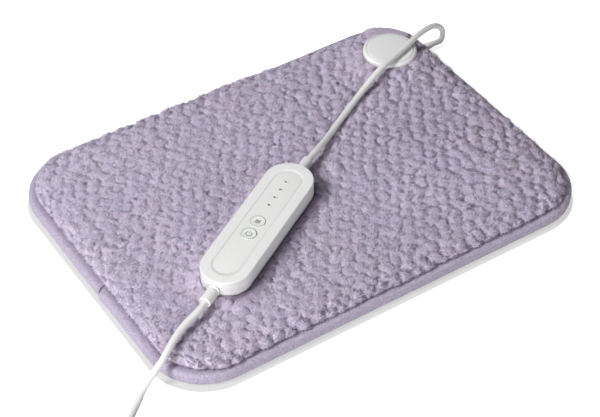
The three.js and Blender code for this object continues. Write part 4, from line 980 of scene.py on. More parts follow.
def tuft_field(flat, spacing, parted, seed=3):
    """The pile as close rows of tufts. Tufts sit on a slanted lattice whose places wander. Each is a dome,
    tall (1 - (r / 0.78)^2), and the domes run into each other as log(sum(exp(9 dome))) / 9. They are low
    where the pile is dense and stand apart where it is parted. Where three tufts meet there is often
    a pit, and small low specks lie between; the material paints pits and specks dark as shade. Returns
    the height from 0 to 1, the offset from the tuft's middle and a number per tuft."""
    place = flat + 1.8 * np.stack([noise(flat, 19, seed + 1), noise(flat, 19, seed + 2)], -1)
    place = place + 0.9 * np.stack([noise(flat, 4.4, seed + 15), noise(flat, 4.4, seed + 16)], -1)
    lattice = np.array([[1, -0.086], [0.5, 0.724]]) * spacing
    steps = np.array(list(itertools.product((-1, 0, 1, 2), repeat=2)))
    here = np.floor(place @ np.linalg.inv(lattice))[:, None] + steps
    wander = np.stack([hashed(here, seed), hashed(here, seed + 5)], -1) - 0.5
    away = place[:, None] - (here @ lattice + wander * spacing * 0.42)
    distance = np.linalg.norm(away, axis=-1) * (1 + 0.3 * (hashed(here, seed + 7) - 0.5)) / spacing
    domes = (0.82 + 0.36 * hashed(here, seed + 9)) * (1 - (distance / 0.78) ** 2)
    top = np.log(np.exp(9 * domes).sum(1)) / 9
    order = np.argsort(distance, 1)[:, :3]
    first, _, third = np.take_along_axis(distance, order, 1).T
    row = np.arange(len(flat))
    offset, owner = away[row, order[:, 0]], hashed(here, seed + 9)[row, order[:, 0]]
    pit = np.exp(-((third - first) * spacing / (1.7 + 0.5 * parted)) ** 2)
    pit = pit * fade(noise(flat, 9, seed + 12), -0.7, 0.3)
    swell = 0.04 * noise(flat, 6.5, seed + 13) + (0.03 + 0.06 * parted) * noise(flat, 3.3, seed + 14)
    speck = fade(noise(flat, 3.1, seed + 17), 0.55, 0.85) * fade(noise(flat, 12, seed + 18), -0.3, 0.6)
    dip = (0.09 + 0.55 * parted) * (1.05 - top) * 0.85
    height = 0.88 - dip + swell - (0.43 - 0.03 * parted) * pit - 0.35 * speck
    return np.clip(height, 0, 1), offset, owner


def behind_socket(x, y):
    """How far places lie in the strip between the socket and the pad's corner, from 0 to 1. The pile is
    pressed flat there."""
    x, y = x - SOCKET_X, y - SOCKET_Y
    distance = np.maximum(np.hypot(x, y), 1e-6)
    return fade((0.6 * x + 0.8 * y) / distance, 0.8, 0.93) * fade(distance, 23, 27)


def case_gap(x, y, case):
    """How far places lie outside the controller's outline, which is a stadium."""
    place = np.array(case.place) / MM
    c, s = math.cos(case.turn), math.sin(case.turn)
    u, v = (x - place[0]) * c + (y - place[1]) * s, -(x - place[0]) * s + (y - place[1]) * c
    radius = case.case_width / MM / 2
    reach = case.case_length / MM / 2 - radius
    return np.hypot(u - np.clip(u, -reach, reach), v) - radius


def stretch_room(x, y, case, line):
    """The height that the pile may reach at each place: level under the controller, a valley under
    the leads, and free elsewhere."""
    gap = case_gap(x, y, case)
    room = case.place[2] / MM - 0.25 + np.maximum(gap + 2.2, 0) * 0.5 + np.maximum(gap - 0.05, 0) * 6
    points = np.stack([x, y], -1)
    for a, b in zip(line[:-1], line[1:]):
        run = b[:2] - a[:2]
        share = np.clip(((points - a[:2]) @ run) / max(run @ run, 1e-9), 0, 1)
        aside = np.linalg.norm(points - a[:2] - share[:, None] * run, axis=-1)
        under = a[2] + share * (b[2] - a[2]) - LEAD_ROOM
        room = np.minimum(room, under + np.maximum(aside - VALLEY_HALF, 0) * VALLEY_SLOPE)
    return room


class HEATINGPAD_OT_plush(bpy.types.Operator):
    """Make the tufted plush top with its loose strands"""

    bl_idname = "heating_pad.plush"
    bl_label = "Plush"

    def execute(self, context):
        scene = context.scene
        sizes, case = scene.heating_pad_sizes, scene.heating_pad_controller
        line = lead_places(case)
        cover, shape = plush_cover(sizes, case, line)
        fitted(cover, finish("plush"), ["plush_cover"])
        for piece in strands(sizes, case, line, shape):
            fitted(piece, finish("plush"))
        return {"FINISHED"}


def lead_places(case):
    """Places along both leads where they pass over the pad."""
    ends = [case_end(case, 1, RELIEF_LENGTH), case_end(case, -1, RELIEF_LENGTH)]
    roots = [case_end(case, 1, 0) - [0, 0, 2], case_end(case, -1, 0) - [0, 0, 2]]
    pad = spread(np.array([roots[0], ends[0], *PAD_LEAD[:16]]), 9)
    mains = spread(np.array([roots[1], ends[1], *MAINS_LEAD[:8]]), 9)
    jump = np.array([[*pad[-1][:2], 200], [*mains[0][:2], 200]])
    return np.concatenate([pad, jump, mains])


def edge_profile(margin):
    """The plush's section at the pad's edge, in pairs of inset and height: from the crown margin out
    over the binding and back in beneath to the hem."""
    edge = through([
        (margin + 8, 18), (margin, 18), (27, 17.7), (18, 17.2), (11.5, 16.3), (7, 15), (4.4, 13.6),
        (3.6, 12.5), (5.4, 11.6), (8.4, 11.5),
    ])
    return spread(edge[edge[:, 0] <= margin + 1e-6], 1.15)


def height_with_painted_shade(height, base, inset, from_hem, quiet, left, case):
    """The tufts' height as the material reads it, with painted shade worked in. It is less, so darker,
    behind the socket; it carries painted shadow beside and against the controller, and painted shade at the
    hem and along the lit left side."""
    beside = painted_shadow_beside_case(base, case)
    # Darker behind the socket, and painted shadow on the controller's right side
    shown = height * (1 - 0.35 * quiet) * (1 - 0.7 * beside)
    # Painted shade in the crease at the hem
    shown = shown * (0.3 + 0.7 * fade(from_hem, 3.5, 6))[:, None]
    # Painted contact shadow against the controller: it takes the pile below zero, where the material paints
    # it darker than its deepest shade
    contact = np.exp(-(np.maximum(case_gap(base[..., 0], base[..., 1], case), 0) / 3.5) ** 2)
    shown = shown - 0.6 * np.sqrt(beside) * contact
    # Painted shade that tones down the lit left rim
    return shown * (1 - 0.1 * left * (1 - fade(inset, 10, 30)))


def plush_cover(sizes, case, line):
    """The plush as one closed form. A profile runs round the pad's edge: it swells over the binding and
    levels off at the crown margin. From there straight lines close in on the pad's middle line. Every
    point is then moved along the surface's normal by the tuft field, which is read on the cloth laid
    flat, so that tufts keep their size over the edge."""
    outline, out, _ = pad_outline(sizes, 1.25)
    margin = sizes.crown_margin / MM
    edge = edge_profile(margin)
    tangent = unit(np.gradient(edge, axis=0))
    side, top = -tangent[:, 1], -tangent[:, 0]
    walked_ = np.concatenate([[0], np.cumsum(np.linalg.norm(np.diff(edge, axis=0), axis=-1))])
    crown = outline - out * edge[0, 0]
    spine = np.stack([np.clip(crown[:, 0], -53, 53), np.zeros(len(crown))], -1)
    share = np.linspace(0, 1, 92)[1:][::-1]
    inner = crown + (spine - crown) * share[:, None, None]
    rim = outline - out * edge[:, :1, None]
    flat = np.concatenate([inner, crown + out * walked_[:, None, None]])
    base = np.concatenate([inner, rim])
    z = np.concatenate([np.full(len(inner), edge[0, 1]), edge[:, 1]])[:, None] * np.ones(len(outline))
    lift = np.concatenate([np.ones(len(inner)), top])[:, None]
    push = np.concatenate([np.zeros(len(inner)), side])[:, None]
    fall = np.concatenate([np.ones(len(inner)), fade(walked_[-1] - walked_, 0, 3.0)])[:, None]
    shape = flat.shape[:2]
    inset = np.concatenate([margin + (1 - share) * 100, edge[:, 0]])[:, None] * np.ones(len(outline))
    left = fade(-out[:, 0], 0.3, 0.9)
    parted = np.maximum((1 - fade(inset, 4, 20)) * (1 - 0.7 * left), 0.55 * fade(base[..., 0], -20, 150))
    height, offset, owner = tuft_field(flat.reshape(-1, 2), sizes.tuft_spacing / MM, parted.ravel())
    quiet = behind_socket(base[..., 0], base[..., 1])
    height = height.reshape(shape) * (1 - quiet) + 0.72 * quiet
    rough = (0.08 + 0.2 * parted.ravel()) * noise(flat.reshape(-1, 2), 2.2, 22)
    depth = sizes.tuft_depth / MM
    hang = 0.16 * (1 - fade(inset, 3, 14)) * (1 - left)
    raise_ = ((height - 0.8 + hang) * depth + rough.reshape(shape) + swell_by_parts(base, case)) * fall
    back, end = fade(out[:, 1], 0.6, 0.95), fade(outline[:, 0], 10, 110)
    tucked = (2.2 * (1 - back) + 2 * back * end + 1.4 * left) * (1 - fade(inset, 5, 17))
    raise_ = raise_ + (3.3 * quiet - 1.8 * back * end * (1 - quiet) * (1 - fade(inset, 8, 26))) * fall
    points = np.empty((*shape, 3))
    points[..., :2] = base + out * (push * raise_ - tucked)[..., None]
    points[..., 2] = z + lift * raise_
    room = stretch_room(points[..., 0].ravel(), points[..., 1].ravel(), case, line).reshape(shape)
    points[..., 2] = np.maximum(np.minimum(points[..., 2], room), COVER_FOOT + 0.05)
    mesh_points, faces, kept = with_socket_hole(points, base)
    from_hem = np.pad(walked_[-1] - walked_, (len(inner), 0), mode="edge")
    shown = height_with_painted_shade(height, base, inset, from_hem, quiet, left, case)
    # rise carries the tufts' height with painted shade and painted shadow worked in; the spikes take it as
    # their height too
    values = {"rise": np.pad(shown.ravel(), (0, len(mesh_points) - height.size)),
              "tint": np.pad(owner * 0.5, (0, len(mesh_points) - owner.size))}
    cover = new_mesh("plush_top", mesh_points, faces, 180, values)
    return cover, (points, kept, parted, shown, offset, side_directions(points))


def painted_shadow_beside_case(base, case):
    """The strip on the right of the controller where the material paints the controller's shadow on the
    pile, from 0 to 1; the spikes there are shorter too.
    """
    x, y = base[..., 0], base[..., 1]
    place = np.array(case.place) / MM
    aside = -(x - place[0]) * math.sin(case.turn) + (y - place[1]) * math.cos(case.turn)
    return np.exp(-(np.maximum(case_gap(x, y, case) - 2, 0) / 6) ** 2) * fade(-aside, 8, 18)


def swell_by_parts(base, case):
    """How much the pile stands up beside the parts that press into it: round the socket, but not on
    the side towards the pad's corner, and along the controller."""
    away = base - [SOCKET_X, SOCKET_Y]
    distance = np.hypot(away[..., 0], away[..., 1])
    towards_corner = (away[..., 0] + away[..., 1]) / np.maximum(distance, 1e-6) / math.sqrt(2)
    ring_ = np.exp(-(np.maximum(distance - 26, 0) / 13) ** 2)
    ring_ = ring_ * SOCKET_SWELL * (1 - fade(towards_corner, -0.2, 0.7)) * (1 - fade(base[..., 1], 100, 128))
    beside = np.exp(-(np.maximum(case_gap(base[..., 0], base[..., 1], case), 0) / 9) ** 2)
    return ring_ + CASE_SWELL * beside


def side_directions(points):
    """Outward unit normals of a grid of points, from the cross product of its two slopes."""
    along = np.roll(points, -1, 1) - np.roll(points, 1, 1)
    down = np.gradient(points, axis=0)
    normal = unit(np.cross(down, along))
    return np.where(normal[..., 2:].mean() < 0, -normal, normal)


def with_socket_hole(points, base):
    """The plush grid without the faces inside the socket's circle. Points beside the circle are drawn
    onto it, a wall drops from it, and one flat face with a round hole closes the underside."""
    rows, around = points.shape[:2]
    middle = np.array([SOCKET_X, SOCKET_Y])
    radius = SOCKET_RADIUS + 0.35
    away = base - middle
    distance = np.linalg.norm(away, axis=-1)
    index = np.arange(rows * around).reshape(rows, around)
    far = distance >= radius - 0.55
    beside, far_beside = np.roll(index, -1, 1), np.roll(far, -1, 1)
    whole = far[:-1] & far[1:] & far_beside[:-1] & far_beside[1:]
    quads = np.stack([index[:-1], index[1:], beside[1:], beside[:-1]], -1)[whole]
    rim = open_rim(quads, distance.ravel(), radius + 3)
    flat = points.reshape(-1, 3)
    direction = (away.reshape(-1, 2) / distance.reshape(-1, 1))[rim]
    flat[rim, :2] = middle + direction * radius
    order = rim[np.argsort(np.arctan2(direction[:, 1], direction[:, 0]))]
    foot, lip = flat[order].copy(), flat[index[-1]].copy()
    foot[:, 2] = lip[:, 2] = COVER_FOOT
    all_points = np.concatenate([flat, foot, lip])
    foot_index = len(flat) + np.arange(len(order))
    lip_index = len(flat) + len(order) + np.arange(around)
    wall = np.stack([order, np.roll(order, -1), np.roll(foot_index, -1), foot_index], -1)
    hem = np.stack([index[-1], lip_index, np.roll(lip_index, -1), np.roll(index[-1], -1)], -1)
    under = flat_underside(all_points, lip_index, foot_index[::-1])
    quads = facing_up(all_points, quads)
    wall = facing_from(all_points, wall, middle, inward=True)
    hem = facing_from(all_points, hem, np.zeros(2), inward=False)
    return merged(all_points, [quads, wall, hem, under]) + (quads,)


def open_rim(quads, distance, reach):
    """The points within a reach on the quads' open edges, which only one quad has."""
    pair = np.sort(np.stack([quads, np.roll(quads, -1, 1)], -1).reshape(-1, 2), 1)
    key = pair[:, 0].astype(np.int64) * len(distance) + pair[:, 1]
    _, first, shared = np.unique(key, return_index=True, return_counts=True)
    open_edges = pair[first[shared == 1]]
    return np.unique(open_edges[distance[open_edges].max(1) < reach])


def flat_underside(points, outside, hole):
    """Triangles that face down, between an outline and a hole. Both are given by their points' numbers."""
    loops = [np.column_stack([points[loop, :2], np.zeros(len(loop))]).tolist() for loop in (outside, hole)]
    under = np.concatenate([outside, hole])[np.array(tessellate_polygon(loops))]
    a, b, c = (points[under[:, k], :2] for k in range(3))
    upward = np.cross(b - a, c - a) > 0
    under[upward] = under[upward][:, ::-1]
    return under


def facing_up(points, quads):
    """Quads turned as one so that their mean normal points up."""
    a, b, c = (points[quads[:, k]] for k in range(3))
    up = np.cross(b - a, c - a)[:, 2].sum()
    return quads if up > 0 else quads[:, ::-1]


def facing_from(points, quads, middle, inward):
    """Quads turned so that they face towards or away from a middle."""
    a, b, c = (points[quads[:, k]] for k in range(3))
    normal = np.cross(b - a, c - a)[:, :2]
    out = (normal * ((a + c)[:, :2] / 2 - middle)).sum(-1)
    return np.where(((out < 0) == inward)[:, None], quads, quads[:, ::-1])


def merged(points, faces):
    """Points and faces without the points of the middle line that coincide, and without the faces
    that this leaves flat."""
    key = np.round(points / 0.0005).astype(np.int64)
    _, first, same = np.unique(key, axis=0, return_index=True, return_inverse=True)
    same = first[same.ravel()]
    out = []
    for f in faces:
        f = same[f]
        if f.shape[1] == 4:
            bad = (f == np.roll(f, -1, 1)).sum(1)
            whole = f[bad == 0]
            thin = f[bad == 1]
            at = np.argmax(thin == np.roll(thin, -1, 1), 1)
            row = np.arange(len(thin))
            three = np.stack([thin[row, (at + k) % 4] for k in (1, 2, 3)], -1)
            crossed = (whole[:, 0] == whole[:, 2]) | (whole[:, 1] == whole[:, 3])
            out += [whole[~crossed], three]
        else:
            out.append(f)
    return points, out


def strands(sizes, case, line, shape):
    """The pile's fibres, as wide locks and as fine strands between them."""
    pieces, per_piece = [], 48000
    for kind, way, seed in (("lock", (0.5, 0.95), 11), ("strand", (0.75, 1.05), 12)):
        count_, long_, wide = (getattr(sizes, f"{kind}_{what}") for what in ("count", "length", "width"))
        corners, rise, tint, normals = spikes(shape, case, line, sizes, count_, long_, wide, way, seed)
        for n, first in enumerate(range(0, len(corners), per_piece)):
            part = slice(first, first + per_piece)
            start = 4 * np.arange(len(corners[part]))[:, None]
            faces = np.concatenate([start + f for f in ([0, 1, 3], [1, 2, 3], [2, 0, 3], [2, 1, 0])])
            values = {"rise": rise[part], "tint": np.repeat(tint[part], 4)}
            soft = normals[part].reshape(-1, 3)
            points = corners[part].reshape(-1, 3)
            pieces.append(new_mesh(f"plush_{kind}s_{n + 1}", points, [faces], 180, values, soft))
    return pieces


def spikes(shape, case, line, sizes, count, long_, wide, way, seed):
    """Slim three-sided spikes, four corners each, spread evenly over the tufts. A spike points along the
    surface's normal, leans away from its tuft's middle and wanders at random. It is shorter in the pits.
    Those that would touch the controller, the leads or the socket are left out."""
    points, quads, parted, height, offset, normal = shape
    rng = np.random.default_rng(seed)
    flat = points.reshape(-1, 3)
    a, b, c, d = (flat[quads[:, k]] for k in range(4))
    area = np.linalg.norm(np.cross(c - a, d - b), axis=-1) / 2
    chosen = quads[rng.choice(len(quads), count, p=area / area.sum())]
    s, t = rng.random((2, count, 1))
    weights = [(1 - s) * (1 - t), s * (1 - t), s * t, (1 - s) * t]

    def at(field):
        field = field.reshape(len(flat), -1)
        return sum(w * field[chosen[:, k]] for k, w in enumerate(weights))

    root, up = at(points), unit(at(normal))
    tall, aside = at(height)[:, 0], at(offset) / (sizes.tuft_spacing / MM)
    loose = 0.8 + 0.2 * at(parted)[:, 0]
    wander = rng.normal(size=(count, 3))
    nap = np.stack([0.3 * noise(root[:, :2], 60, 41), 0.3 * noise(root[:, :2], 45, 42) - 0.2], -1)
    lean = np.column_stack([aside * 1.9 + nap, np.zeros(count)])
    upright, own = way
    direction = unit(up * upright + lean + wander * 0.55)
    direction = unit(direction + up * np.maximum(0.25 - (direction * up).sum(-1), 0)[:, None])
    reach = long_ / MM * (0.6 + 0.6 * rng.random(count)) * (0.4 + 0.6 * tall) * loose
    width = wide / MM * (0.65 + 0.7 * rng.random(count)) / 2
    tip = root + direction * reach[:, None]
    room = stretch_room(tip[:, 0], tip[:, 1], case, line)
    over_socket = np.linalg.norm(tip[:, :2] - [SOCKET_X, SOCKET_Y], axis=-1) < SOCKET_RADIUS + 0.2
    free = (tip[:, 2] < room + 0.2) & ~over_socket & (tip[:, 2] > COVER_FOOT - 0.1)
    free &= tall > 0.2 + 0.3 * rng.random(count)
    free &= behind_socket(tip[:, 0], tip[:, 1]) < rng.random(count)
    kept = (root, direction, tip, width, tall, up, loose)
    root, direction, tip, width, tall, up, loose = (values[free] for values in kept)
    side = unit(np.cross(direction, rng.normal(size=direction.shape)))
    corners, away = spike_corners(root, direction, tip, width, side)
    # Painted shade: a spike is darker at its foot than at its tip, and darker where the tufts are low or in
    # painted shadow
    rise = np.column_stack([np.repeat(tall[:, None] * 0.75, 3, 1), tall * 0.9 + 0.15])
    own = (own * (2.0 * loose - 0.75))[:, None, None]
    normals = unit(up[:, None] * (1.2 - own) + np.concatenate([away, direction[:, None]], 1) * own)
    return corners, rise, rng.random(len(corners)), normals


def spike_corners(root, direction, tip, width, side):
    """Each spike's corners, which are three round its sunken foot and its tip, and the way out from
    its axis at the first three."""
    other = np.cross(direction, side)
    foot = root - direction * SPIKE_SUNK
    angle = np.radians([90, 210, 330])
    ring_ = foot[:, None] + width[:, None, None] * (
        np.cos(angle)[:, None] * side[:, None] + np.sin(angle)[:, None] * other[:, None])
    return np.concatenate([ring_, tip[:, None]], 1), unit(ring_ - foot[:, None])


def section_of_binding(sizes):
    """The binding's section as a folded tape: out round the pad's edge and back inside it, as pairs of
    inset and height."""
    deep, high, tape = (v / MM for v in (sizes.binding_depth, sizes.binding_height, sizes.binding_tape))
    bend = 4
    outer = rounded([(deep, 0), (0, 0), (0, high), (deep, high)], [bend + 0.6, bend + 1.4], 9)
    inner = rounded([(deep, high - tape), (tape, high - tape), (tape, tape), (deep, tape)], [bend, bend], 5)
    return spread(outer, 0.95), spread(inner, 2.4)


class HEATINGPAD_OT_binding(bpy.types.Operator):
    """Make the towelling binding with its joined ends"""

    bl_idname = "heating_pad.binding"
    bl_label = "Binding"

    def execute(self, context):
        sizes = context.scene.heating_pad_sizes
        outline, out, walked_ = pad_outline(sizes, 1.3)
        outer, inner = section_of_binding(sizes)
        section = np.concatenate([outer, inner])
        rings = binding_rings(sizes, outline, out, walked_, section, len(outer))
        piece = solid("binding_roll", rings, endless=True, smooth=60)
        shaped(piece, neck_tool(SOCKET_X + SOCKET_RADIUS + 8), "DIFFERENCE", 60)
        fitted(piece, finish("binding"), ["edge_binding"])
        around = float(walked_[-1] + 1.3 - math.pi * 8) * MM
        return {"FINISHED"}


def binding_rings(sizes, outline, out, walked_, section, outer_count):
    """The section carried round the outline. Its outer side puckers by a few tenths, swells beside the
    socket, and steps where the tape's two ends overlap."""
    tall = sizes.binding_height / MM
    inset, z = section[:, 0][:, None], section[:, 1][:, None]
    outer = (np.arange(len(section)) < outer_count)[:, None]
    place = np.stack(np.broadcast_arrays(walked_[None], z + 40 * outer), -1)
    slow = noise(place * [1, 0.25], 42, 61) * 0.5 + noise(place * [1, 0.5], 13, 62) * 0.32
    fine = noise(place, 1.9, 63) * 0.16
    mid = np.sin(np.pi * np.clip(z / tall, 0, 1))
    bulge = 0.9 * np.exp(-((outline[:, 0] - 150) / 30) ** 2) * (outline[:, 1] > 100)
    lap = lap_step(outline, z)
    push = outer * ((slow + bulge - 0.25) * mid + fine * fade(z, 0.2, 1.2) + lap * fade(z, 0.3, 2))
    lift = outer * (noise(place * [1, 0], 30, 64) * 0.35 - 0.35) * fade(z, 2, tall)
    inset_ = inset - push * fade(8.2 - inset, 0, 3)
    rings = np.empty((len(section), len(outline), 3))
    rings[..., :2] = outline - out * inset_[..., None]
    rings[..., 2] = z + lift * fade(8.2 - inset, 0, 3)
    return rings


def lap_step(outline, z):
    """How far the overlapping end of the tape stands proud: a short step on the left side that fades
    along the edge, behind a slit."""
    along = np.where(outline[:, 0] < -PAD_LENGTH / 2 + 6, outline[:, 1] - LAP_AT, 1e3) + 0 * z
    step = 1.2 * np.where((along > -16) & (along < 0), 1 + along / 16, 0)
    return step - 2.4 * np.exp(-((along - LAP_SLIT) / LAP_SLIT) ** 4)


def neck_tool(x0):
    """A block as wide as the socket's neck with some room, from a place out past the pad's edge."""
    x1, y0, y1 = PAD_HIGH[0] + 6, NECK_Y - 8.5, NECK_Y + 8.5
    plan = np.array([(x0, y0), (x1, y0), (x1, y1), (x0, y1)])
    return solid("block", np.array([np.column_stack([plan, np.full(4, z)]) for z in (1.3, 10.1)]))


class HEATINGPAD_OT_back_cloth(bpy.types.Operator):
    """Make the cloth underneath, whose edge is caught in the binding"""

    bl_idname = "heating_pad.back_cloth"
    bl_label = "Back cloth"

    def execute(self, context):
        sizes = context.scene.heating_pad_sizes
        outline, out, walked_ = pad_outline(sizes, 3.0)
        insets = np.array([48, 36, 26, 18, 13, 10, 7, 4.4])
        rise = np.array([0, 0, 0, 0, 0.15, 1.0, 1.45, 1.5])
        ripple = noise(np.stack(np.broadcast_arrays(walked_[None], insets[:, None]), -1), 20, 71) * 0.12
        under = rise[:, None] + np.abs(ripple) * (insets[:, None] > 14)
        rings = [np.column_stack([outline - out * i, z]) for i, z in zip(insets, under)]
        rings += [np.column_stack([outline - out * i, z + 0.9]) for i, z in zip(insets[::-1], under[::-1])]
        cloth = solid("back_cloth_sheet", np.array(rings), smooth=60)
        shaped(cloth, rods([(SOCKET_X, SOCKET_Y)], 1.3, 9, SOCKET_RADIUS + 0.3, 48), "DIFFERENCE", 60)
        shaped(cloth, neck_tool(SOCKET_X), "DIFFERENCE", 60)
        fitted(cloth, finish("backing"), ["back_cloth"])
        wide, tall = PAD_LENGTH - 8.8, PAD_WIDTH - 8.8
        corner = sizes.corner / MM - 4.4
        area = wide * tall - (4 - math.pi) * corner ** 2
        tall * MM
        wide * MM
        area * MM * MM
        return {"FINISHED"}


# Socket and controller


class HEATINGPAD_OT_socket(bpy.types.Operator):
    """Make the round socket cap with its rounded rim and fine groove"""

    bl_idname = "heating_pad.socket"
    bl_label = "Socket cap"

    def execute(self, context):
        r, top = SOCKET_RADIUS, SOCKET_TOP
        low = SOCKET_LOW[2]
        across = np.linspace(r - 5, 0, 12)
        profile = np.concatenate([
            [[0.01, top - 2.2], [r - 4.2, top - 2.2], [r - 2.2, top - 4.2], [r - 2.2, low + 0.05],
             [r - 1.9, low], [r - 0.2, low], [r, low + 0.2]],
            arc((r - 3.2, top - 4), 3.2, 0, 78, 12),
            [[r - 2.9, top - 0.74], [r - 2.98, top - 0.95], [r - 3.02, top - 1.55], [r - 3.38, top - 1.55],
             [r - 3.42, top - 0.9], [r - 3.5, top - 0.7], [r - 3.8, top - 0.58]],
            np.column_stack([np.linspace(r - 5, 0.01, 12), top - 0.55 * (across / r) ** 2]),
        ])
        rings = turned(profile, 128) + [SOCKET_X, SOCKET_Y, 0]
        cap = solid("socket_cap_shell", rings, smooth=35)
        cut_and_post(cap, (SOCKET_X, SOCKET_Y))
        fitted(cap, finish("casing"), ["socket_cap"])
        return {"FINISHED"}


def cut_and_post(cap, middle):
    """Adds the cap's three screw posts, each with its pilot hole."""
    angle = np.radians([100, 220, 340])
    places = np.stack([middle[0] + 16 * np.cos(angle), middle[1] + 16 * np.sin(angle)], -1)
    shaped(cap, rods(places, 7.6, SOCKET_TOP - 1.7, 3), "UNION", 35)
    shaped(cap, rods(places, 6.6, SOCKET_TOP - 10.7, 1.5), "DIFFERENCE", 35)


def stadium_rings(rows):
    """Rings of stadiums, each given as a length, a width and a height."""
    return np.array([stadium(*row) for row in rows])


def four_places(u, v):
    """The four places at plus and minus u and v."""
    return [(i * u, j * v) for i, j in ((1, 1), (-1, 1), (-1, -1), (1, -1))]


def turn_to_case(obj, sizes):
    """Carries a mesh made in the controller's own frame to its place on the pad."""
    turn = Matrix.Translation(sizes.place) @ Matrix.Rotation(sizes.turn, 4, "Z")
    obj.data.transform(turn)
    return obj


class HEATINGPAD_OT_case(bpy.types.Operator):
    """Make the controller's two shells, its inset panel and its strain reliefs"""

    bl_idname = "heating_pad.case"
    bl_label = "Controller case"

    def execute(self, context):
        sizes = context.scene.heating_pad_controller
        for piece, slot_name, node in (
            (case_top(sizes), "casing", "case_top"),
            (case_base(sizes), "casing", "case_base"),
            (control_panel(sizes), "panel", "control_panel"),
            (strain_relief(sizes, "pad", 0), "cord_jacket", "pad_lead_relief"),
            (strain_relief(sizes, "mains", math.pi), "cord_jacket", "mains_lead_relief"),
        ):
            turn_to_case(piece, sizes)
            fitted(piece, finish(slot_name), [node])
        return {"FINISHED"}


def relief_bores(sizes):
    """Tools that open both end walls for the strain reliefs."""
    end = sizes.case_length / MM / 2
    bore = turned([[4.3, end - 6], [4.3, end + 2]], 32)
    return several("bores", [skin(lying(bore, turn) + [0, 0, CORD_AXIS]) for turn in (0, math.pi)])


def case_top(sizes):
    """The upper shell: from its lower edge up the side, over a quarter round to the flat top, down into
    the panel's recess and back along the inside."""
    long_, wide, high = (v / MM for v in (sizes.case_length, sizes.case_width, sizes.case_height))
    panel_l, panel_w = sizes.panel_length / MM + 0.6, sizes.panel_width / MM + 0.6
    bend = sizes.top_round / MM
    quarter = arc((0, 0), bend, 0, 90, 12)
    rows = [(long_ - 0.2, wide - 0.2, 9.1), (long_, wide, 9.2)]
    rows += [(long_ - 2 * (bend - x), wide - 2 * (bend - x), high - bend + y) for x, y in quarter]
    rows += [(panel_l + 6, panel_w + 5, high)]
    rows += [(panel_l + more, panel_w + more, high - down) for more, down in (
        (0.3, 0), (0.1, 0.06), (0, 0.4), (0, 1.5), (-5, 1.5), (-5, 3))]
    rows += [(long_ - 2 * i, wide - 2 * i, z) for i, z in (
        (4.2, high - 3), (3.0, high - 3.5), (2.2, high - 5), (2.2, 10.7), (1.0, 10.7), (1.0, 9.3))]
    shell = solid("case_top_shell", stadium_rings(rows), endless=True, smooth=32)
    posts = four_places(long_ / 2 - POST_END, POST_SIDE)
    shaped(shell, rods(posts, 9.3, high - 2.5, 3), "UNION", 32)
    shaped(shell, rods(posts, 8.3, high - 3.9, 1.5), "DIFFERENCE", 32)
    return shaped(shell, relief_bores(sizes), "DIFFERENCE", 32)


def case_base(sizes):
    """The lower shell: a tray with a rounded underside, a lip, four screw bosses and four standoffs."""
    long_, wide = sizes.case_length / MM, sizes.case_width / MM
    quarter = arc((0, 0), 3, -90, 0, 10)
    rows = [(long_ - 28, wide - 28, 0)]
    rows += [(long_ - 2 * (3 - x), wide - 2 * (3 - x), 3 + y) for x, y in quarter]
    rows += [(long_, wide, 8.9), (long_ - 0.2, wide - 0.2, 9.0)]
    rows += [(long_ - 2 * i, wide - 2 * i, z) for i, z in (
        (1.3, 9.0), (1.3, 10.4), (2.2, 10.4), (2.2, 3.5), (2.8, 2.5), (3.7, 2.0), (14, 2.0))]
    tray = solid("case_base_shell", stadium_rings(rows), smooth=32)
    posts = four_places(long_ / 2 - POST_END, POST_SIDE)
    shaped(tray, rods(posts, 1.5, 9.0, 3.6), "UNION", 32)
    shaped(tray, rods(four_places(40, 11), 1.5, 3.55, 3), "UNION", 32)
    shaped(tray, rods(posts, -1, 10, 1.5), "DIFFERENCE", 32)
    shaped(tray, rods(posts, -1, 2.7, 2.8), "DIFFERENCE", 32)
    return shaped(tray, relief_bores(sizes), "DIFFERENCE", 32)


LIGHT_PLACES = [(20.6 + 10.2 * n, 0.9) for n in range(4)]
BUTTON_PLACES = {"power": -16.4, "heat": -0.9}


def panel_height(sizes):
    return sizes.case_height / MM - 0.1


def control_panel(sizes):
    """The inset panel: a thin stadium with a softened upper edge, round holes for the buttons and
    small ones for the lights."""
    long_, wide = sizes.panel_length / MM + 0.46, sizes.panel_width / MM + 0.46
    high = panel_height(sizes)
    rows = [(long_ - less, wide - less, high - down) for less, down in (
        (0, 1.1), (0, 0.35), (0.05, 0.1), (0.2, 0.02), (0.5, 0))]
    panel = solid("control_panel_plate", stadium_rings(rows), smooth=32)
    hole = sizes.button_radius / MM + 0.16
    holes = rods([(u, 0) for u in BUTTON_PLACES.values()], high - 3, high + 2, hole, 72)
    shaped(panel, holes, "DIFFERENCE", 32)
    return shaped(panel, rods(LIGHT_PLACES, high - 3, high + 2, 1.0, 24), "DIFFERENCE", 32)


def strain_relief(sizes, which, turn):
    """A plain round relief with a thin collar against the case and a bore for the lead."""
    end = sizes.case_length / MM / 2
    tip = end + RELIEF_LENGTH
    profile = rounded([
        (2.75, end - 6.6), (5.5, end - 6.6), (5.5, end - 5), (4, end - 5), (4, end + 0.3),
        (5.3, end + 0.3), (5.3, end + 1.5), (4.5, end + 1.7), (4.5, end + 2.4), (4.9, end + 2.6),
        (4.85, tip - 0.1), (4.0, tip), (2.75, tip), (2.75, end - 6.4),
    ], [0, 0.2, 0.2, 0.2, 0.2, 0.3, 0.4, 0.2, 0.2, 0.3, 0.9, 0.3, 0], 4)
    rings = lying(turned(profile, 48), turn) + [0, 0, CORD_AXIS]
    return solid(f"{which}_relief_sleeve", rings, endless=True, smooth=40)


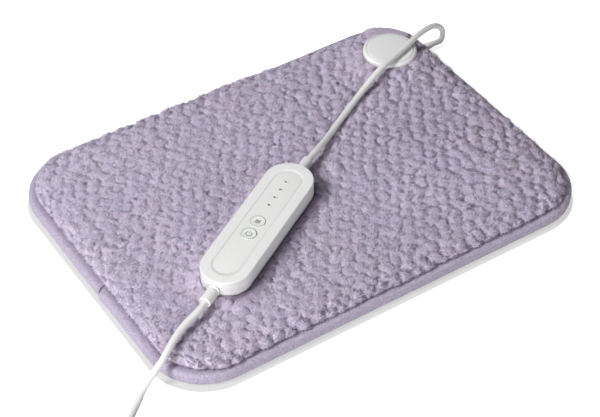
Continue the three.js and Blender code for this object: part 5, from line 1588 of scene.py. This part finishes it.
class HEATINGPAD_OT_keys(bpy.types.Operator):
    """Make the two push buttons with their symbols, and the four indicator lenses"""

    bl_idname = "heating_pad.keys"
    bl_label = "Buttons and lights"

    def execute(self, context):
        sizes = context.scene.heating_pad_controller
        numbers = turn_to_case(panel_numbers(sizes), sizes)
        fitted(numbers, finish("symbol"))
        for which, u in BUTTON_PLACES.items():
            node, body = f"{which}_button", f"{which}_key"
            cap = turn_to_case(push_button(sizes, node + "_cap", u), sizes)
            fitted(cap, finish("button"), [node], body)
            mark = turn_to_case(symbol(sizes, which, u), sizes)
            fitted(mark, finish("symbol"), (), body)
        high = sizes.case_height / MM
        profile = rounded([
            (0.01, 10.9), (0.9, 10.9), (0.9, 13.7), (1.8, 13.7), (1.8, 14.7), (0.9, 14.7),
            (0.9, high - 0.15), (0.01, high - 0.02),
        ], [0.1, 0, 0.1, 0.1, 0, 0.25], 4)
        for n, (u, v) in enumerate(LIGHT_PLACES):
            lens = solid(f"light_lens_{n + 1}", turned(profile, 28) + [u, v, 0])
            turn_to_case(lens, sizes)
            fitted(lens, finish("lens"), [f"indicator_lens_{n + 1}"])
        return {"FINISHED"}


def button_top(radius, high):
    """The button's outer profile from its flange up over its soft edge to its dished middle."""
    soft = arc((radius - 0.55, high - 0.62), 0.55, 0, 80, 6)
    dish = np.linspace(radius - 1.1, 0.01, 10)
    bowl = high - 0.02 - 0.33 * (1 - (dish / (radius - 1.1)) ** 2)
    return np.concatenate([soft, np.column_stack([dish, bowl])])


def push_button(sizes, name, u):
    """A push button: a stem, a flange under the roof and a dished cap, turned about its axis."""
    radius, high = sizes.button_radius / MM, sizes.case_height / MM + 0.4
    profile = np.concatenate([
        [(0.01, 12.2), (2, 12.2), (2, 13.6), (radius + 0.9, 13.6), (radius + 0.9, 14.7), (radius, 14.7)],
        button_top(radius, high),
    ])
    return solid(name, turned(profile, 72) + [u, 0, 0], smooth=35)


def stroke(line, width, place, top):
    """A printed stroke: a thin ribbon with a rounded rectangle for its section, laid along a line on a
    surface whose height is given for each point of the line."""
    line = spread(line, 0.15)
    across = unit(np.gradient(line, axis=0))[:, ::-1] * [-1, 1]
    rings = [
        np.column_stack([line + across * side * width, top(line) + lift])
        for side, lift in (
            (-0.5, -0.05), (-0.5, 0.03), (-0.35, 0.05), (0.35, 0.05), (0.5, 0.03), (0.5, -0.05))
    ]
    return skin(np.array(rings).transpose(1, 0, 2) + [*place, 0])


def symbol(sizes, which, u):
    """The generic signs on a button: a fine circle by its edge, and inside it a broken circle with a bar
    for power, or rising waves with crossbars for heat."""
    bowl = button_top(sizes.button_radius / MM, sizes.case_height / MM + 0.4)

    def top(line):
        return np.interp(np.hypot(line[:, 0], line[:, 1]), bowl[::-1, 0], bowl[::-1, 1])

    if which == "power":
        lines = [arc((0, 0), 2.45, 34, 326, 60), np.array([(0.9, 0), (3.0, 0)])]
    else:
        along = np.linspace(-2.2, 2.2, 40)
        lines = [np.stack([along, v + 0.26 * np.sin(along * 3)], -1) for v in (-1.5, 0, 1.5)]
        lines += [np.array([(w, -2.1), (w, 2.1)]) for w in (-0.9, 0.9)]
    parts = [stroke(line, 0.52, (u, 0), top) for line in lines]
    band = np.array([(5.95, -0.05), (5.95, 0.02), (6.0, 0.04), (6.2, 0.04), (6.25, 0.02), (6.25, -0.05)])
    band[:, 1] += top(np.column_stack([band[:, 0], np.zeros(len(band))]))
    parts.append(skin(turned(band, 72) + [u, 0, 0], endless=True))
    return several(f"{which}_symbol", parts)


DIGITS = (
    [(0.45, 0), (0.45, 1.7)],
    [(0, 1.4), (0.2, 1.7), (0.7, 1.7), (0.9, 1.35), (0.8, 0.95), (0, 0), (0.95, 0)],
    [(0, 1.5), (0.3, 1.7), (0.75, 1.65), (0.9, 1.3), (0.5, 0.9), (0.95, 0.45), (0.7, 0.05), (0.3, 0),
     (0, 0.2)],
    [(0.7, 0), (0.7, 1.7), (0, 0.55), (1.0, 0.55)],
)


def panel_numbers(sizes):
    """Small plain numbers beside the lights, in strokes laid flat on the panel."""
    high = panel_height(sizes)
    parts = []
    for (u, v), digit in zip(LIGHT_PLACES, DIGITS):
        line = 0.85 * np.array([(y - 0.85, -x) for x, y in digit])
        parts.append(stroke(line, 0.2, (u, v - 1.5), lambda points: np.full(len(points), high)))
    return several("panel_numbers", parts)


class HEATINGPAD_OT_inner_parts(bpy.types.Operator):
    """Give every node that stays from the frame its finish"""

    bl_idname = "heating_pad.inner_parts"
    bl_label = "Inner parts"

    def execute(self, context):
        slots = {
            row["node"]: row.get("material_slot") or row.get("slot") for row in frame["record"]["subparts"]
        }
        for name, obj in frame["nodes"].items():
            if not obj.hide_render:
                obj.data.materials.clear()
                obj.data.materials.append(finish(slots.get(name) or "casing"))
        return {"FINISHED"}


# Stage


class HEATINGPAD_OT_stage(bpy.types.Operator):
    """Set up the camera, the floor and the studio light"""

    bl_idname = "heating_pad.stage"
    bl_label = "Stage"

    def execute(self, context):
        scene = context.scene
        light = scene.heating_pad_light
        camera(scene)
        corners = [(4e3 * x, 4e3 * y, -0.4) for x, y in ((-1, -1), (1, -1), (1, 1), (-1, 1))]
        floor = new_mesh("floor", corners, [[[0, 1, 2, 3]]])
        floor.data.materials.append(floor_finish())
        scene.world = studio_world(light.world)
        lamp("key_lamp", (-2.25, 0.25, 2.4), 0.82, light.key, (1, 0.985, 0.97))
        lamp("back_lamp", (0.62, 0.95, 1.75), 0.5, light.back, (0.97, 0.98, 1))
        lamp("front_lamp", (-0.95, -1.37, 0.4), 0.6, light.front, (1, 0.99, 0.98))
        scene.view_settings.view_transform = "Standard"
        return {"FINISHED"}


def studio_world(strength):
    """Surroundings that light the scene at a strength and look white to the camera."""
    world = bpy.data.worlds.new("studio")
    world.use_nodes = True
    tree = world.node_tree
    tree.nodes.clear()
    lit, seen, path, mix, either, end = (tree.nodes.new("ShaderNode" + kind) for kind in (
        "Background", "Background", "LightPath", "MixShader", "Math", "OutputWorld"))
    lit.inputs["Color"].default_value = (0.97, 0.98, 1, 1)
    lit.inputs["Strength"].default_value = strength
    seen.inputs["Color"].default_value = (1, 1, 1, 1)
    either.operation, either.use_clamp = "ADD", True
    for output, socket in (
        (path.outputs["Is Camera Ray"], either.inputs[0]),
        (path.outputs["Is Transmission Ray"], either.inputs[1]),
        (either.outputs[0], mix.inputs[0]),
        (lit.outputs[0], mix.inputs[1]),
        (seen.outputs[0], mix.inputs[2]),
        (mix.outputs[0], end.inputs["Surface"]),
    ):
        tree.links.new(output, socket)
    return world


def aimed(name, data, right, up, back, place):
    """A camera or lamp at a place, with its own three axes."""
    obj = bpy.data.objects.new(name, data)
    bpy.context.scene.collection.objects.link(obj)
    axes = np.stack([right, up, back], 1)
    obj.matrix_world = Matrix([(*row, p) for row, p in zip(axes, place)] + [(0, 0, 0, 1)])
    return obj


def camera(scene):
    """A camera at the photograph's angle: it looks down on a point by its azimuth and elevation, from
    a distance, and is rolled a little."""
    azimuth, elevation, roll = (math.radians(a) for a in (-32.46, 43.28, -0.76))
    distance, target, focal, width = 1.455, np.array([-0.0095, -0.0149, 0]), 1737.0, 600
    level = math.cos(elevation)
    back = np.array([math.sin(azimuth) * level, -math.cos(azimuth) * level, math.sin(elevation)])
    right = unit(np.cross(-back, [0, 0, 1]))
    up = np.cross(right, -back)
    right, up = right * math.cos(roll) + up * math.sin(roll), up * math.cos(roll) - right * math.sin(roll)
    data = bpy.data.cameras.new("camera")
    data.sensor_fit, data.sensor_width = "HORIZONTAL", 36
    data.lens = focal / width * 36
    data.clip_start, data.clip_end = 0.01, 50
    scene.camera = aimed("camera", data, right, up, back, target + back * distance)


def lamp(name, place, size, watts, colour_):
    """A square lamp that faces the pad's middle."""
    data = bpy.data.lights.new(name, "AREA")
    data.energy, data.size, data.color = watts, size, colour_
    back = unit(np.array(place))
    right = unit(np.cross([0, 0, 1], back))
    aimed(name, data, right, np.cross(back, right), back, place)


def floor_finish():
    """Matt pale floor. To the camera it adds a glow that grows with the distance from the pad, so that
    it stays white apart from the shadows beside the pad. A narrow strip on the two near sides is a
    painted shadow: to the camera it is darker and glows less."""
    f = Finish("floor", **{"Roughness": 1.0, "Specular IOR Level": 0.0})
    away = f.between(f.beyond(), 0.06, 0.12)
    # Painted shadow: a strip along the pad's outline, shifted towards the camera, seen only by camera rays
    painted_shadow_strip = 1 - f.between(f.beyond((-0.0024, -0.0038, 0.0)), 0.0503, 0.0518)
    camera_ray = f.node("ShaderNodeLightPath")["Is Camera Ray"]
    f.set("Base Color", f.mix(painted_shadow_strip * camera_ray, (0.8, 0.8, 0.8), (0.2, 0.2, 0.203)))
    glow = f.node("ShaderNodeEmission", {}, {"Color": (1, 1, 1), "Strength": 1.0})
    bare = f.node("ShaderNodeEmission", {}, {"Color": (0, 0, 0), "Strength": 0.0})
    seen = camera_ray * (away * 0.25 + 0.71 - painted_shadow_strip * 0.17)
    share = f.node("ShaderNodeMixShader", {}, {0: seen, 1: bare["Emission"], 2: glow["Emission"]})
    both = f.node("ShaderNodeAddShader", {}, {0: f.shader["BSDF"], 1: share["Shader"]})
    end = [n for n in f.tree.nodes if n.type == "OUTPUT_MATERIAL"][0]
    f.tree.links.new(both["Shader"].socket, end.inputs["Surface"])
    return f.material


STEPS = (
    HEATINGPAD_OT_stage,
    HEATINGPAD_OT_plugs,
    HEATINGPAD_OT_leads,
    HEATINGPAD_OT_plush,
    HEATINGPAD_OT_binding,
    HEATINGPAD_OT_back_cloth,
    HEATINGPAD_OT_socket,
    HEATINGPAD_OT_case,
    HEATINGPAD_OT_keys,
    HEATINGPAD_OT_inner_parts,
)
GROUPS = {
    "heating_pad_sizes": PadSizes,
    "heating_pad_leads": LeadSizes,
    "heating_pad_controller": ControllerSizes,
    "heating_pad_finishes": Finishes,
    "heating_pad_light": Light,
}


class HEATINGPAD_PT_panel(bpy.types.Panel):
    """Lists the steps that make the heating pad"""

    bl_label = "Heating pad"
    bl_idname = "HEATINGPAD_PT_panel"
    bl_space_type = "VIEW_3D"
    bl_region_type = "UI"
    bl_category = "Heating pad"

    def draw(self, context):
        for name in GROUPS:
            box = self.layout.box()
            group = getattr(context.scene, name)
            for key in group.bl_rna.properties.keys():
                if key not in ("rna_type", "name"):
                    box.prop(group, key)
        for step in STEPS:
            self.layout.operator(step.bl_idname)


def register():
    for group in GROUPS.values():
        bpy.utils.register_class(group)
    for name, group in GROUPS.items():
        setattr(bpy.types.Scene, name, PointerProperty(type=group))
    for step in STEPS:
        bpy.utils.register_class(step)
    bpy.utils.register_class(HEATINGPAD_PT_panel)


def unregister():
    bpy.utils.unregister_class(HEATINGPAD_PT_panel)
    for step in reversed(STEPS):
        bpy.utils.unregister_class(step)
    for name in GROUPS:
        delattr(bpy.types.Scene, name)
    for group in reversed(GROUPS.values()):
        bpy.utils.unregister_class(group)


def main():
    register()
    for step in STEPS:
        group, name = step.bl_idname.split(".")
        getattr(getattr(bpy.ops, group), name)()


if __name__ == "__main__":
    main()
